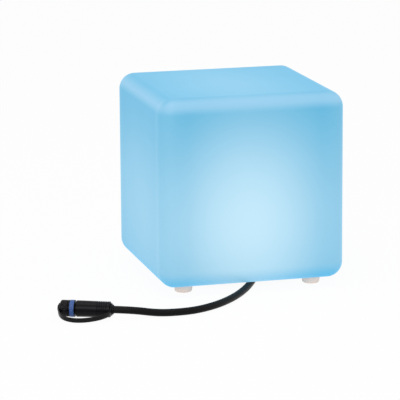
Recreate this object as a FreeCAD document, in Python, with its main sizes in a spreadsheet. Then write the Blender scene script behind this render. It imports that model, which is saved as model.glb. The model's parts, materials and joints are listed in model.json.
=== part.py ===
"""Cube light for the garden: a rounded, glowing cube on four feet, with its plug-in cable.

The frame has its origin on the ground under the middle of the cube, +Z up and -Y to the front.
Lengths are millimetres. The cable leaves the gland under the cube and runs out to its plug.
"""
import FreeCAD, Part
import math
import os
import re
import Sketcher
from FreeCAD import Vector

# name: size, what it is
SIZES = {
    # the cube and its feet
    "cube_side": (200, "outside of the cube"),
    "edge_radius": (17, "rounding of all the cube's edges"),
    "shell_wall": (3, "wall of the moulded cube"),
    "foot_height": (8.5, "ground to the cube's underside"),
    "foot_inset": (30, "foot centre from the cube's sides"),
    "foot_top_radius": (10, "foot where it meets the cube"),
    "foot_tip_radius": (9, "foot near the ground"),
    "foot_rounding": (2.4, "round edge on the ground"),
    "foot_recess": (3.6, "depth of the screw's recess in a foot"),
    # screws and their threaded inserts
    "screw_radius": (2, "shank of the larger screws"),
    "screw_head": (3.9, "head radius of the larger screws"),
    "screw_head_height": (2.5, "head height of the larger screws"),
    "cover_screw_length": (9.5, "shank of a cover screw"),
    "foot_screw_length": (11.5, "shank of a foot screw"),
    "head_chamfer": (0.8, "slanted edge of a larger screw's head"),
    "small_screw_radius": (1.5, "shank of the smaller screws"),
    "small_head": (2.75, "head radius of the smaller screws"),
    "small_head_height": (1.9, "head height of the smaller screws"),
    "small_chamfer": (0.6, "slanted edge of a smaller screw's head"),
    "small_screw_length": (7, "shank of a small screw below what it holds"),
    "screw_gap": (0.25, "room round a shank in its hole"),
    "insert_radius": (2.9, "threaded insert"),
    "insert_length": (6, "threaded insert"),
    "insert_hole": (9.5, "depth of the hole behind an insert's mouth"),
    "boss_wall": (2.6, "plastic round an insert"),
    "boss_roof": (2, "plastic above an insert's hole"),
    # the cover under the cube
    "opening_radius": (60, "opening in the cube's underside"),
    "seat_depth": (4, "underside up to the seat of the cover"),
    "seat_width": (11.5, "seat of the cover, round the opening"),
    "cover_gap": (0.5, "room round the flange in its seat"),
    "flange_thick": (3, "cover flange"),
    "cover_wall": (2.5, "walls of the raised pan"),
    "pan_gap": (2, "room between the pan and the opening"),
    "pan_headroom": (2.5, "gland up to the pan's ceiling"),
    "gland_wall": (30, "middle to the wall that holds the gland"),
    "cover_screw_margin": (5, "cover screws from the flange's edge"),
    "cover_screws": (6, "how many cover screws"),
    "gasket_width": (2.2, "cover gasket"),
    "gasket_height": (1.2, "cover gasket"),
    # the light module
    "spacer_height": (4, "pan top to the driver board"),
    "spacer_radius": (3, "spacers under the driver board"),
    "pilot_floor": (0.5, "end of a small screw to the bottom of its hole"),
    "pillar_radius": (3.5, "pillars under the heat plate"),
    "pillar_margin": (14, "pillars from the pan's outside"),
    "pillar_count": (3, "how many pillars"),
    "plate_clearance": (1.4, "tallest part of the driver up to the heat plate"),
    "plate_margin": (6, "heat plate's edge outside the pillars"),
    "plate_thick": (3, "heat plate"),
    "board_thick": (1.6, "both circuit boards"),
    "chip_side": (5, "light chip"),
    "chip_height": (1.4, "light chip"),
    "outer_chips": (12, "light chips in the outer ring"),
    "chip_margin": (12.5, "edge of the board to the outer ring of chips"),
    "inner_chips": (6, "light chips in the inner ring"),
    "chip_pitch": (12.5, "outer ring of chips to the inner one"),
    "wire_hole_margin": (5, "edge of the board to the hole for its wires"),
    "dome_wall": (2, "clear dome"),
    "dome_gap": (1, "room between the board and the dome"),
    "head_gap": (0.75, "room between the dome and the screws' heads"),
    "dome_side": (9, "straight side of the dome"),
    "dome_crown": (5, "height of the slope above the side"),
    "dome_slope": (10, "width of the slope round the flat top"),
    "driver_length": (72, "driver board, left to right"),
    "driver_width": (44, "driver board, front to back"),
    "driver_back": (16, "middle to the back edge of the driver board"),
    "driver_margin": (4, "spacer centre from the board's edge"),
    "coil_radius": (7, "driver coil"),
    "coil_bore": (3, "driver coil"),
    "coil_height": (6.5, "driver coil"),
    "coil_offset": (4.9, "middle of the board to the coil"),
    "part_margin": (3, "front edge of the driver board to its tall parts"),
    "capacitor_radius": (4, "driver capacitor"),
    "capacitor_height": (9, "driver capacitor"),
    "capacitor_offset": (2, "middle of the board to the first capacitor"),
    "capacitor_pitch": (10.4, "between the capacitors"),
    "control_chip_side": (9, "control chip"),
    "control_chip_height": (1.2, "control chip"),
    "control_chip_back": (4, "control chip behind the middle of the board"),
    "terminal_length": (12, "terminal block, left to right"),
    "terminal_depth": (10, "terminal block, front to back"),
    "terminal_height": (8, "terminal block"),
    "terminal_pitch": (5.4, "between its two wires"),
    "terminal_wire_level": (3.6, "driver board up to the wires"),
    "terminal_margin": (2, "back edge of the driver board to the terminal block"),
    "terminal_screw_height": (0.8, "terminal screw above its block"),
    "terminal_screw": (1.5, "terminal screw"),
    "wire_radius": (1, "inner wires"),
    "wire_gap": (0.25, "room round a wire"),
    "wire_reach": (9, "end of the sheath back to where its wires rise"),
    "wire_end_gap": (1, "end of a wire to the bottom of its terminal"),
    "light_wire_rise": (3, "wires of the chip board above it"),
    "light_wire_reach": (7, "wires of the chip board, hole to pad"),
    # the cable and its gland
    "cable_radius": (3.8, "cable sheath"),
    "core_offset": (1.7, "each core from the cable's middle"),
    "gland_side": (22, "gland to the right of the middle"),
    "gland_clearance": (0.5, "flange up to the gland's hexagons"),
    "gland_thread": (7.6, "gland shank"),
    "gland_across": (19, "flats of the gland's hexagons"),
    "gland_hex": (5, "hexagon of the gland's body"),
    "gland_shank": (7, "shank behind the wall"),
    "gland_barrel": (5, "barrel in front of the hexagon"),
    "gland_mouth": (18, "wall to the gland's mouth"),
    "gland_washer": (1, "washer under the hexagon"),
    "lock_nut": (5, "gland's lock nut"),
    "gland_slack": (0.3, "room round the cable in the gland"),
    "gland_seal_wall": (1.4, "wall of the barrel round the seal"),
    "seal_overlap": (1, "seal inside the hexagon"),
    "seal_stand": (2, "seal in front of the barrel"),
    "cap_nut_gap": (0.6, "between the gland's body and its cap nut"),
    "cap_nut_grip": (1, "cap nut's hexagon in front of the barrel"),
    "cap_nut_shoulder": (2.5, "first, steep part of the cap nut's slope"),
    "cap_nut_lip": (2, "width of the lip round the mouth"),
    "tail_length": (14, "wall to the end of the sheath inside"),
    "slip": (0.05, "room between parts that slide or turn"),
    # the plug, measured along its axis from the rear face of its body
    "plug_x": (-168, "rear face of the plug's body"),
    "plug_y": (-154.75, "rear face of the plug's body"),
    "plug_yaw": (157, "where the plug points, from +X"),
    "plug_body": (34.7, "length of the plug's body"),
    "plug_rear_radius": (8, "plug body at the cable"),
    "plug_front_radius": (8.4, "plug body at the nut"),
    "grip_grooves": (5, "how many grip grooves"),
    "grip_first": (3.2, "rear face to the first grip groove"),
    "grip_pitch": (2.3, "between two grip grooves"),
    "grip_width": (0.9, "grip groove"),
    "grip_depth": (0.3, "grip groove"),
    "seat_radius": (4.4, "neck under the strap's rear ring"),
    "seat_length": (1.8, "neck under the strap's rear ring"),
    "collar_radius": (5, "collar that keeps the strap on"),
    "collar_length": (1.4, "collar that keeps the strap on"),
    "neck_radius": (5.8, "neck between body and nut"),
    "neck_length": (1.3, "neck between body and nut"),
    "nose_radius": (5.4, "nose that carries the nut"),
    "nose_tip_radius": (5.1, "nose in front of the snap ring"),
    "nose_length": (8.1, "body to the tip of the nose"),
    "lip_thick": (1.2, "inner lip of the nut"),
    "snap_thick": (0.9, "snap ring in front of the lip"),
    "snap_groove": (4.8, "bottom of the snap ring's groove"),
    "snap_radius": (6.3, "outside of the snap ring"),
    "seal_wire": (1.1, "ring seal on the nose, its groove's width"),
    "seal_groove": (4.2, "bottom of the ring seal's groove"),
    "seal_back": (1.2, "nose tip to the ring seal's groove"),
    "core_radius": (1.1, "cores inside the plug"),
    "pin_radius": (0.8, "contact pins"),
    "pin_length": (14, "contact pins"),
    "pin_back": (0.6, "nose tip to the pins' ends"),
    "nut_radius": (8.45, "coupling nut"),
    "nut_length": (7, "coupling nut"),
    "nut_bore": (6.9, "coupling nut in front of its lip"),
    "nut_chamfer": (0.5, "edges of the nut"),
    "band_radius": (8.7, "coloured grip band on the nut"),
    "band_seat": (7.8, "nut under the band"),
    "band_start": (0.6, "rear edge of the nut to the band"),
    "band_width": (4.5, "coloured grip band"),
    "band_ribs": (26, "how many grooves round the band"),
    "band_groove": (0.45, "radius of those grooves"),
    "cap_gap": (0.3, "between the nut and the end cap"),
    "cap_radius": (8.45, "end cap"),
    "cap_side": (6.9, "straight side of the end cap"),
    "cap_slope": (1.2, "sloped end of the cap"),
    "cap_end_radius": (6.8, "flat end of the cap"),
    "cap_flutes": (26, "how many flutes round the cap"),
    "cap_flute_radius": (0.5, "flutes round the cap"),
    "cap_flute_margin": (0.9, "cap edge to the flutes"),
    "cap_flute_length": (3.8, "flutes round the cap"),
    "spigot_radius": (6.7, "spigot inside the nut"),
    "spigot_bore": (5.3, "spigot round the nose"),
    "spigot_length": (4.2, "spigot, from the cap's rear face"),
    "spigot_floor": (1.4, "cap's rear face to the bottom of its bore"),
    "button_neck": (2.6, "button under the strap's front ring"),
    "button_radius": (3.7, "button's head"),
    "button_head": (0.9, "button's head"),
    # the strap that keeps the cap on the plug
    "strap_width": (5, "strap"),
    "strap_thick": (1.6, "strap and its rings"),
    "strap_rear_ring": (6.3, "outside of the rear ring"),
    "strap_front_ring": (5.2, "outside of the front ring"),
    "strap_root": (3.6, "straight start of the strap, out from each ring"),
    "strap_sink": (0.8, "how far the strap starts inside each ring"),
    "strap_drop": (11.3, "how far the strap's plane leans down, degrees"),
}

doc = FreeCAD.newDocument("CubeLight")
sheet = doc.addObject("Spreadsheet::Sheet", "Sizes")
for line, (name, (size, meaning)) in enumerate(SIZES.items(), 1):
    sheet.set(f"A{line}", meaning)
    sheet.set(f"B{line}", str(size))
    sheet.setAlias(f"B{line}", name)
doc.recompute()

PIECES = []


# ---------------------------------------------------------------- helpers

def formula(text):
    """The text of a sum with each size's name pointed at its cell."""
    return re.sub(r"[a-z_]+", lambda word: f"Sizes.{word[0]}" if word[0] in SIZES else word[0], str(text))


def number(text):
    """What a sum of sizes comes to now."""
    return float(sheet.evalExpression(formula(text)))


def bind(item, settings):
    """Tie properties of an object to sums of sizes."""
    for name, text in settings.items():
        item.setExpression(name, formula(text))


def place(item, x=0, y=0, z=0, turn="rotation(vector(0; 0; 1); 0)"):
    """Set an object down at a point, turned."""
    item.setExpression("Placement", formula(f"placement(vector({x}; {y}; {z}); {turn})"))


def piece(item, label):
    """Mark an object as one of the light's separate pieces."""
    item.Label = label
    PIECES.append(item)
    return item


def body(name):
    return doc.addObject("PartDesign::Body", name)


def origin(owner, role):
    """One of a body's own planes or axes."""
    return next(item for item in owner.Origin.OriginFeatures if item.Role == role)


def sketch_on(owner, role, name, offset):
    sketch = owner.newObject("Sketcher::SketchObject", name)
    sketch.AttachmentSupport = (origin(owner, role), [""])
    sketch.MapMode = "FlatFace"
    bind(sketch, {f"AttachmentOffset.Base.{axis}": text for axis, text in offset.items()})
    return sketch


def tie(sketch, kind, places, text):
    """A sketch dimension that follows a sum of sizes."""
    row = sketch.addConstraint(Sketcher.Constraint(kind, *places, number(text)))
    sketch.setExpression(f"Constraints[{row}]", formula(text))


def draw_outline(sketch, corners):
    """A closed outline of straight sides, with both distances of each corner tied."""
    points = [Vector(number(across), number(up), 0) for across, up in corners]
    ends = points[1:] + points[:1]
    for start, end in zip(points, ends):
        sketch.addGeometry(Part.LineSegment(start, end))
    for side, (across, up) in enumerate(corners):
        before = (side - 1) % len(corners)
        sketch.addConstraint(Sketcher.Constraint("Coincident", before, 2, side, 1))
        tie(sketch, "DistanceX", (-1, 1, side, 1), across)
        tie(sketch, "DistanceY", (-1, 1, side, 1), up)


def rod(radius, start, end):
    """Outline of a plain round bar."""
    return [("0", start), (radius, start), (radius, end), ("0", end)]


def hoop(inner, outer, start, end):
    """Outline of a plain ring."""
    return [(inner, start), (outer, start), (outer, end), (inner, end)]


def turned(owner, name, corners, at=("0", "0"), kind="Revolution"):
    """Turn an outline of (radius, height) corners about an upright axis at a point."""
    sketch = sketch_on(owner, "XZ_Plane", f"{name}_outline", {"x": at[0], "z": f"-({at[1]})"})
    draw_outline(sketch, corners)
    feature = owner.newObject(f"PartDesign::{kind}", name)
    feature.Profile = sketch
    feature.ReferenceAxis = (sketch, ["V_Axis"])
    feature.Angle = 360
    owner.Tip = feature
    doc.recompute()
    return feature


def bored(owner, name, corners, at=("0", "0")):
    """Cut an outline turned about an upright axis."""
    return turned(owner, name, corners, at, "Groove")


def extruded(owner, name, sketch, height, kind="Pad"):
    """Raise a sketch, or cut it, by a height along the owner's +Z."""
    feature = owner.newObject(f"PartDesign::{kind}", name)
    feature.Profile = sketch
    bind(feature, {"Length": height})
    feature.Reversed = kind == "Pocket"
    owner.Tip = feature
    doc.recompute()
    return feature


def polygon(owner, name, corners, start, height, kind="Pad"):
    sketch = sketch_on(owner, "XY_Plane", f"{name}_outline", {"z": start})
    draw_outline(sketch, corners)
    return extruded(owner, name, sketch, height, kind)


def block(owner, name, middle, length, width, start, height, kind="Pad"):
    """An upright box round a middle point."""
    left, right = f"{middle[0]} - ({length}) / 2", f"{middle[0]} + ({length}) / 2"
    front, back = f"{middle[1]} - ({width}) / 2", f"{middle[1]} + ({width}) / 2"
    corners = [(left, front), (right, front), (right, back), (left, back)]
    return polygon(owner, name, corners, start, height, kind)


def hexagon(owner, name, across, start, height):
    corner = f"({across}) / 2 / cos(30)"
    corners = [(f"{corner} * cos({60 * turn})", f"{corner} * sin({60 * turn})") for turn in range(6)]
    return polygon(owner, name, corners, start, height)


def round_hole(owner, name, middle, radius, start, height):
    """A straight round hole along +Z."""
    sketch = sketch_on(owner, "XY_Plane", f"{name}_outline", {"z": start})
    x, y = middle
    sketch.addGeometry(Part.Circle(Vector(number(x), number(y), 0), Vector(0, 0, 1), number(radius)))
    tie(sketch, "Radius", (0,), radius)
    tie(sketch, "DistanceX", (-1, 1, 0, 3), x)
    tie(sketch, "DistanceY", (-1, 1, 0, 3), y)
    return extruded(owner, name, sketch, height, "Pocket")


def around(owner, name, feature, count):
    """Repeat a feature round the owner's Z axis."""
    ring = owner.newObject("PartDesign::PolarPattern", name)
    ring.Originals = [feature]
    ring.Axis = (origin(owner, "Z_Axis"), [""])
    ring.Angle = 360
    bind(ring, {"Occurrences": count})
    owner.Tip = ring
    doc.recompute()
    return ring


def polar(circle, degrees):
    """A point on a circle round the middle."""
    return f"{circle} * cos({degrees})", f"{circle} * sin({degrees})"


def boolean(kind, name, base, *tools):
    """Cut tools from a base, or join them to it."""
    result = doc.addObject("Part::Cut" if kind == "cut" else "Part::MultiFuse", name)
    if kind == "cut":
        result.Base = base
        result.Tool = tools[0]
    else:
        result.Shapes = [base, *tools]
    doc.recompute()
    return result


def rounded_path(points):
    """Straight runs joined by tangent arcs, and the arcs' radii."""
    edges, radii = [], []
    start = points[0]
    for before, corner, after in zip(points, points[1:], points[2:]):
        back, ahead = before - corner, after - corner
        turn = math.pi - back.getAngle(ahead)
        reach = ROUNDING * min(back.Length, ahead.Length)
        radii.append(reach / math.tan(turn / 2))
        back.normalize()
        ahead.normalize()
        arc_start, arc_end = corner + back * reach, corner + ahead * reach
        inward = (back + ahead).normalize()
        arc_middle = corner + inward * (math.hypot(reach, radii[-1]) - radii[-1])
        edges.append(Part.LineSegment(start, arc_start).toShape())
        edges.append(Part.Arc(arc_start, arc_middle, arc_end).toShape())
        start = arc_end
    edges.append(Part.LineSegment(start, points[-1]).toShape())
    return Part.Wire(edges), radii


def tube(points, radius):
    """A round bar along a path of runs and arcs."""
    path, radii = rounded_path(points)
    section = Part.Wire(Part.Circle(points[0], points[1] - points[0], radius).toShape())
    solid = path.makePipeShell([section], True, False)
    return solid, path.Length, radii


def shaped(name, label, shape):
    """A piece whose shape is made in code from the sizes."""
    item = doc.addObject("Part::Feature", name)
    item.Shape = shape
    return piece(item, label)


ROUNDING = 0.45  # share of the shorter run that each arc takes

# ---------------------------------------------------------------- levels and places

UNDERSIDE = "foot_height"
SEAT = f"({UNDERSIDE} + seat_depth)"
SEAT_RADIUS = "(opening_radius + seat_width)"
FLANGE_BOTTOM = f"({SEAT} - flange_thick)"
FLANGE_RADIUS = f"({SEAT_RADIUS} - cover_gap)"
COVER_CIRCLE = f"({FLANGE_RADIUS} - cover_screw_margin)"
GLAND_LEVEL = f"({SEAT} + gland_clearance + gland_across / 2)"
PAN_CEILING = f"({GLAND_LEVEL} + gland_across / 2 + pan_headroom)"
PAN_TOP = f"({PAN_CEILING} + cover_wall)"
PAN_OUTSIDE = "(opening_radius - pan_gap)"
PILLAR_CIRCLE = f"({PAN_OUTSIDE} - pillar_margin)"
DRIVER_BOTTOM = f"({PAN_TOP} + spacer_height)"
DRIVER_TOP = f"({DRIVER_BOTTOM} + board_thick)"
PLATE_LEVEL = f"({DRIVER_TOP} + capacitor_height + plate_clearance)"
PLATE_TOP = f"({PLATE_LEVEL} + plate_thick)"
PLATE_RADIUS = f"({PILLAR_CIRCLE} + plate_margin)"
DOME_OUTSIDE = f"({PILLAR_CIRCLE} - small_head - head_gap)"
DOME_INSIDE = f"({DOME_OUTSIDE} - dome_wall)"
BOARD_RADIUS = f"({DOME_INSIDE} - dome_gap)"
OUTER_CHIPS = f"({BOARD_RADIUS} - chip_margin)"
INNER_CHIPS = f"({OUTER_CHIPS} - chip_pitch)"
LIGHT_BOARD_TOP = f"({PLATE_TOP} + board_thick)"
SCREW_HOLE = "(screw_radius + screw_gap)"
SMALL_HOLE = "(small_screw_radius + screw_gap)"
INSERT_BORE = SCREW_HOLE
BOSS_RADIUS = "(insert_radius + boss_wall)"
BOSS_HEIGHT = "(insert_hole + boss_roof)"
BOSS_TOP = f"({SEAT} + {BOSS_HEIGHT})"
GASKET_MIDDLE = f"((opening_radius + {COVER_CIRCLE} - {SCREW_HOLE}) / 2)"
FOOT_SPREAD = "(cube_side / 2 - foot_inset)"
FOOT_CIRCLE = f"({FOOT_SPREAD} * sqrt(2))"
FOOT_ANGLE = 45
FIRST_PILLAR = 30
DRIVER_MIDDLE = ("0", "(driver_back - driver_width / 2)")
TERMINAL_MIDDLE = ("(driver_length / 2 - driver_margin * 2 - terminal_length / 2)",
                   "(driver_back - terminal_margin - terminal_depth / 2)")
WIRE_HOLE = (f"-({BOARD_RADIUS} - wire_hole_margin)", "0")
WIRE_HOLE_RADIUS = "(wire_radius * 2 + wire_gap * 3)"


# ---------------------------------------------------------------- the cube

def rounded_cube(name, inset):
    """A cube with all its edges rounded, smaller by an inset all round."""
    owner = body(name)
    side = f"(cube_side - 2 * {inset})"
    pad = block(owner, f"{name}_pad", ("0", "0"), side, side, f"{UNDERSIDE} + {inset}", side)
    rounding = owner.newObject("PartDesign::Fillet", f"{name}_rounding")
    rounding.Base = (pad, [""])
    rounding.UseAllEdges = True
    bind(rounding, {"Radius": f"edge_radius - {inset}"})
    owner.Tip = rounding
    doc.recompute()
    return owner


def diffuser_shell():
    """The moulded cube: one opening below, a recessed seat for the cover, bosses for inserts."""
    walls = boolean("cut", "ShellWalls", rounded_cube("ShellOutside", 0),
                    rounded_cube("ShellInside", "shell_wall"))
    bosses = body("ShellBosses")
    turned(bosses, "SeatDisc", rod(f"{SEAT_RADIUS} + shell_wall", UNDERSIDE, f"{SEAT} + shell_wall"))
    boss = turned(bosses, "CoverBoss", boss_outline(SEAT), polar(COVER_CIRCLE, 0))
    around(bosses, "CoverBosses", boss, "cover_screws")
    boss = turned(bosses, "FootBoss", boss_outline(f"({UNDERSIDE} + shell_wall / 2)"),
                  polar(FOOT_CIRCLE, FOOT_ANGLE))
    around(bosses, "FootBosses", boss, 4)
    holes = body("ShellHoles")
    turned(holes, "SeatAndOpening", [("0", f"{UNDERSIDE} - shell_wall"),
                                     (SEAT_RADIUS, f"{UNDERSIDE} - shell_wall"), (SEAT_RADIUS, SEAT),
                                     ("opening_radius", SEAT), ("opening_radius", BOSS_TOP), ("0", BOSS_TOP)])
    hole = turned(holes, "CoverInsertHole", insert_hole_outline(SEAT), polar(COVER_CIRCLE, 0))
    around(holes, "CoverInsertHoles", hole, "cover_screws")
    hole = turned(holes, "FootInsertHole", insert_hole_outline(UNDERSIDE), polar(FOOT_CIRCLE, FOOT_ANGLE))
    around(holes, "FootInsertHoles", hole, 4)
    joined = boolean("join", "ShellJoined", walls, bosses)
    piece(boolean("cut", "Shell", joined, holes), "diffuser_shell")


def boss_outline(start):
    """A boss standing on a face, round an insert's hole."""
    return rod(BOSS_RADIUS, start, f"{start} + {BOSS_HEIGHT}")


def insert_hole_outline(mouth):
    """A stepped blind hole: the insert's seat, then room for the screw's end."""
    step, end = f"{mouth} + insert_length", f"{mouth} + insert_hole"
    return [("0", mouth), ("insert_radius", mouth), ("insert_radius", step), (INSERT_BORE, step),
            (INSERT_BORE, end), ("0", end)]


def insert_outline(mouth):
    """A threaded insert, as a plain tube."""
    return hoop(INSERT_BORE, "insert_radius - slip", mouth, f"{mouth} + insert_length")


def up_screw(seat, length):
    """Outline of a larger screw that points up, its head under a seat."""
    bottom, tip = f"{seat} - screw_head_height", f"{seat} + {length}"
    return [("0", bottom), ("screw_head - head_chamfer", bottom), ("screw_head", f"{bottom} + head_chamfer"),
            ("screw_head", seat), ("screw_radius", seat), ("screw_radius", tip), ("0", tip)]


def ring_of(label, outline, circle, first, count):
    """Like pieces in a ring, in one node."""
    owner = body(label.title().replace("_", ""))
    one = turned(owner, f"{owner.Name}One", outline, polar(circle, first))
    around(owner, f"{owner.Name}Ring", one, count)
    return piece(owner, label)


def foot(label, side, end):
    """A soft foot, wider at the top, with a recess below for its screw."""
    owner = body(label.title().replace("_", ""))
    base = turned(owner, f"{owner.Name}Form", [
        (SCREW_HOLE, "foot_recess"), ("screw_head + screw_gap * 2", "foot_recess"),
        ("screw_head + screw_gap * 2", "0"), ("foot_tip_radius", "0"), ("foot_top_radius", "foot_height"),
        (SCREW_HOLE, "foot_height")])
    rounding = owner.newObject("PartDesign::Fillet", f"{owner.Name}Rounding")
    rounding.Base = (base, circles(base.Shape, number("foot_tip_radius"), 0))
    bind(rounding, {"Radius": "foot_rounding"})
    owner.Tip = rounding
    place(owner, f"{side} * {FOOT_SPREAD}", f"{end} * {FOOT_SPREAD}")
    piece(owner, label)


def circles(shape, radius, height):
    """Names of a shape's round edges of one radius at one height."""
    names = []
    for count, edge in enumerate(shape.Edges, 1):
        curve = edge.Curve
        if isinstance(curve, Part.Circle):
            if abs(curve.Radius - radius) + abs(curve.Center.z - height) < 1e-4:
                names.append(f"Edge{count}")
    return names


# ---------------------------------------------------------------- the cover and what seals it

def pan_section(owner, name, radius, flat, start, height, kind):
    """A disc with one flat side, at the back."""
    sketch = sketch_on(owner, "XY_Plane", f"{name}_outline", {"z": start})
    reach, level = number(radius), number(flat)
    slant = math.asin(level / reach)
    half = reach * math.cos(slant)
    circle = Part.Circle(Vector(), Vector(0, 0, 1), reach)
    sketch.addGeometry(Part.ArcOfCircle(circle, math.pi - slant, 2 * math.pi + slant))
    sketch.addGeometry(Part.LineSegment(Vector(half, level, 0), Vector(-half, level, 0)))
    sketch.addConstraint(Sketcher.Constraint("Coincident", 0, 3, -1, 1))
    sketch.addConstraint(Sketcher.Constraint("Coincident", 0, 2, 1, 1))
    sketch.addConstraint(Sketcher.Constraint("Coincident", 1, 2, 0, 1))
    sketch.addConstraint(Sketcher.Constraint("Horizontal", 1))
    tie(sketch, "Radius", (0,), radius)
    tie(sketch, "DistanceY", (-1, 1, 1, 1), flat)
    return extruded(owner, name, sketch, height, kind)


def base_cover():
    """Round cover with a raised pan, where the gland and the slack of the cable lie."""
    owner = body("BaseCover")
    turned(owner, "Flange", rod(FLANGE_RADIUS, FLANGE_BOTTOM, SEAT))
    pan_section(owner, "Pan", PAN_OUTSIDE, "gland_wall + cover_wall", FLANGE_BOTTOM,
                f"{PAN_TOP} - {FLANGE_BOTTOM}", "Pad")
    pan_section(owner, "PanHollow", f"{PAN_OUTSIDE} - cover_wall", "gland_wall", FLANGE_BOTTOM,
                f"{PAN_CEILING} - {FLANGE_BOTTOM}", "Pocket")
    bored(owner, "GasketGroove", gasket_outline("slip"))
    hole = round_hole(owner, "CoverHole", polar(COVER_CIRCLE, 0), SCREW_HOLE, FLANGE_BOTTOM, "flange_thick")
    around(owner, "CoverHoles", hole, "cover_screws")
    bore = "small_screw_length + pilot_floor"
    pillar = turned(owner, "Pillar", pillar_outline("pillar_radius", PLATE_LEVEL, bore),
                    polar(PILLAR_CIRCLE, FIRST_PILLAR))
    around(owner, "Pillars", pillar, "pillar_count")
    spacer = pillar_outline("spacer_radius", DRIVER_BOTTOM, "spacer_height - pilot_floor")
    for row, middle in enumerate(driver_corners()):
        turned(owner, f"Spacer{row}", spacer, middle)
    sketch = sketch_on(owner, "XZ_Plane", "GlandHoleOutline", {"z": "-gland_wall"})
    sketch.addGeometry(Part.Circle(Vector(number("gland_side"), number(GLAND_LEVEL), 0), Vector(0, 0, 1),
                                   number("gland_thread + screw_gap")))
    tie(sketch, "Radius", (0,), "gland_thread + screw_gap")
    tie(sketch, "DistanceX", (-1, 1, 0, 3), "gland_side")
    tie(sketch, "DistanceY", (-1, 1, 0, 3), GLAND_LEVEL)
    hole = extruded(owner, "GlandHole", sketch, "cover_wall", "Pocket")
    hole.Reversed = False
    doc.recompute()
    piece(owner, "base_cover")


def pillar_outline(radius, top, bore):
    """A pillar on the pan with a blind hole for a screw down its middle."""
    return [("0", f"{PAN_TOP} - cover_wall / 2"), (radius, f"{PAN_TOP} - cover_wall / 2"), (radius, top),
            ("small_screw_radius + slip", top), ("small_screw_radius + slip", f"{top} - ({bore})"),
            ("0", f"{top} - ({bore})")]


def gasket_outline(slack):
    """Section of the cover gasket, or of its groove with some slack."""
    inner = f"{GASKET_MIDDLE} - gasket_width / 2 - {slack}"
    outer = f"{GASKET_MIDDLE} + gasket_width / 2 + {slack}"
    return hoop(inner, outer, f"{SEAT} - gasket_height", SEAT)


def driver_corners():
    """Where the driver board's four spacers stand."""
    half = "(driver_length / 2 - driver_margin)"
    return [(f"{side} * {half}", edge) for side in (-1, 1)
            for edge in ("(driver_back - driver_margin)", "(driver_back - driver_width + driver_margin)")]


# ---------------------------------------------------------------- the light module

def down_screw(owner, name, seat, length, at):
    """A small screw that points down, its head on a seat."""
    top, tip = f"{seat} + small_head_height", f"{seat} - ({length})"
    turned(owner, name, [("0", tip), ("small_screw_radius", tip), ("small_screw_radius", seat),
                         ("small_head", seat), ("small_head", f"{top} - small_chamfer"),
                         ("small_head - small_chamfer", top), ("0", top)], at)


def light_module():
    """Heat plate, chip board and clear dome on three pillars of the cover."""
    rim_top = f"({PLATE_TOP} + dome_wall)"
    plate = body("HeatPlate")
    turned(plate, "Plate", rod(PLATE_RADIUS, PLATE_LEVEL, PLATE_TOP))
    pillar = polar(PILLAR_CIRCLE, FIRST_PILLAR)
    hole = round_hole(plate, "PlateHole", pillar, SMALL_HOLE, PLATE_LEVEL, "plate_thick")
    around(plate, "PlateHoles", hole, "pillar_count")
    round_hole(plate, "PlateWireHole", WIRE_HOLE, WIRE_HOLE_RADIUS, PLATE_LEVEL, "plate_thick")
    piece(plate, "heat_plate")

    board = body("LedBoard")
    turned(board, "Board", rod(BOARD_RADIUS, PLATE_TOP, LIGHT_BOARD_TOP))
    round_hole(board, "BoardWireHole", WIRE_HOLE, WIRE_HOLE_RADIUS, PLATE_TOP, "board_thick")
    piece(board, "led_board")

    chips = body("LedChips")
    chip_size = ("chip_side", "chip_side", LIGHT_BOARD_TOP, "chip_height")
    block(chips, "MiddleChip", ("0", "0"), *chip_size)
    for circle, count in ((OUTER_CHIPS, "outer_chips"), (INNER_CHIPS, "inner_chips")):
        chip = block(chips, f"{count}_one", (circle, "0"), *chip_size)
        around(chips, f"{count}_ring", chip, count)
    piece(chips, "led_chips")

    dome = body("LedDome")
    shoulder = f"({PLATE_TOP} + dome_side)"
    crown = f"({shoulder} + dome_crown)"
    turned(dome, "DomeForm", [
        (DOME_INSIDE, PLATE_TOP), (PLATE_RADIUS, PLATE_TOP), (PLATE_RADIUS, rim_top), (DOME_OUTSIDE, rim_top),
        (DOME_OUTSIDE, shoulder), (f"{DOME_OUTSIDE} - dome_slope", f"{crown} + dome_wall"),
        ("0", f"{crown} + dome_wall"), ("0", crown), (f"{DOME_INSIDE} - dome_slope", crown),
        (DOME_INSIDE, f"{shoulder} - dome_wall / 2")])
    hole = round_hole(dome, "DomeHole", pillar, SMALL_HOLE, PLATE_TOP, "dome_wall")
    around(dome, "DomeHoles", hole, "pillar_count")
    piece(dome, "led_dome")

    screws = body("ModuleScrews")
    length = "plate_thick + dome_wall + small_screw_length"
    down_screw(screws, "ModuleScrew", rim_top, length, pillar)
    around(screws, "ModuleScrewRing", screws.Tip, "pillar_count")
    piece(screws, "module_screws")


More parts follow.
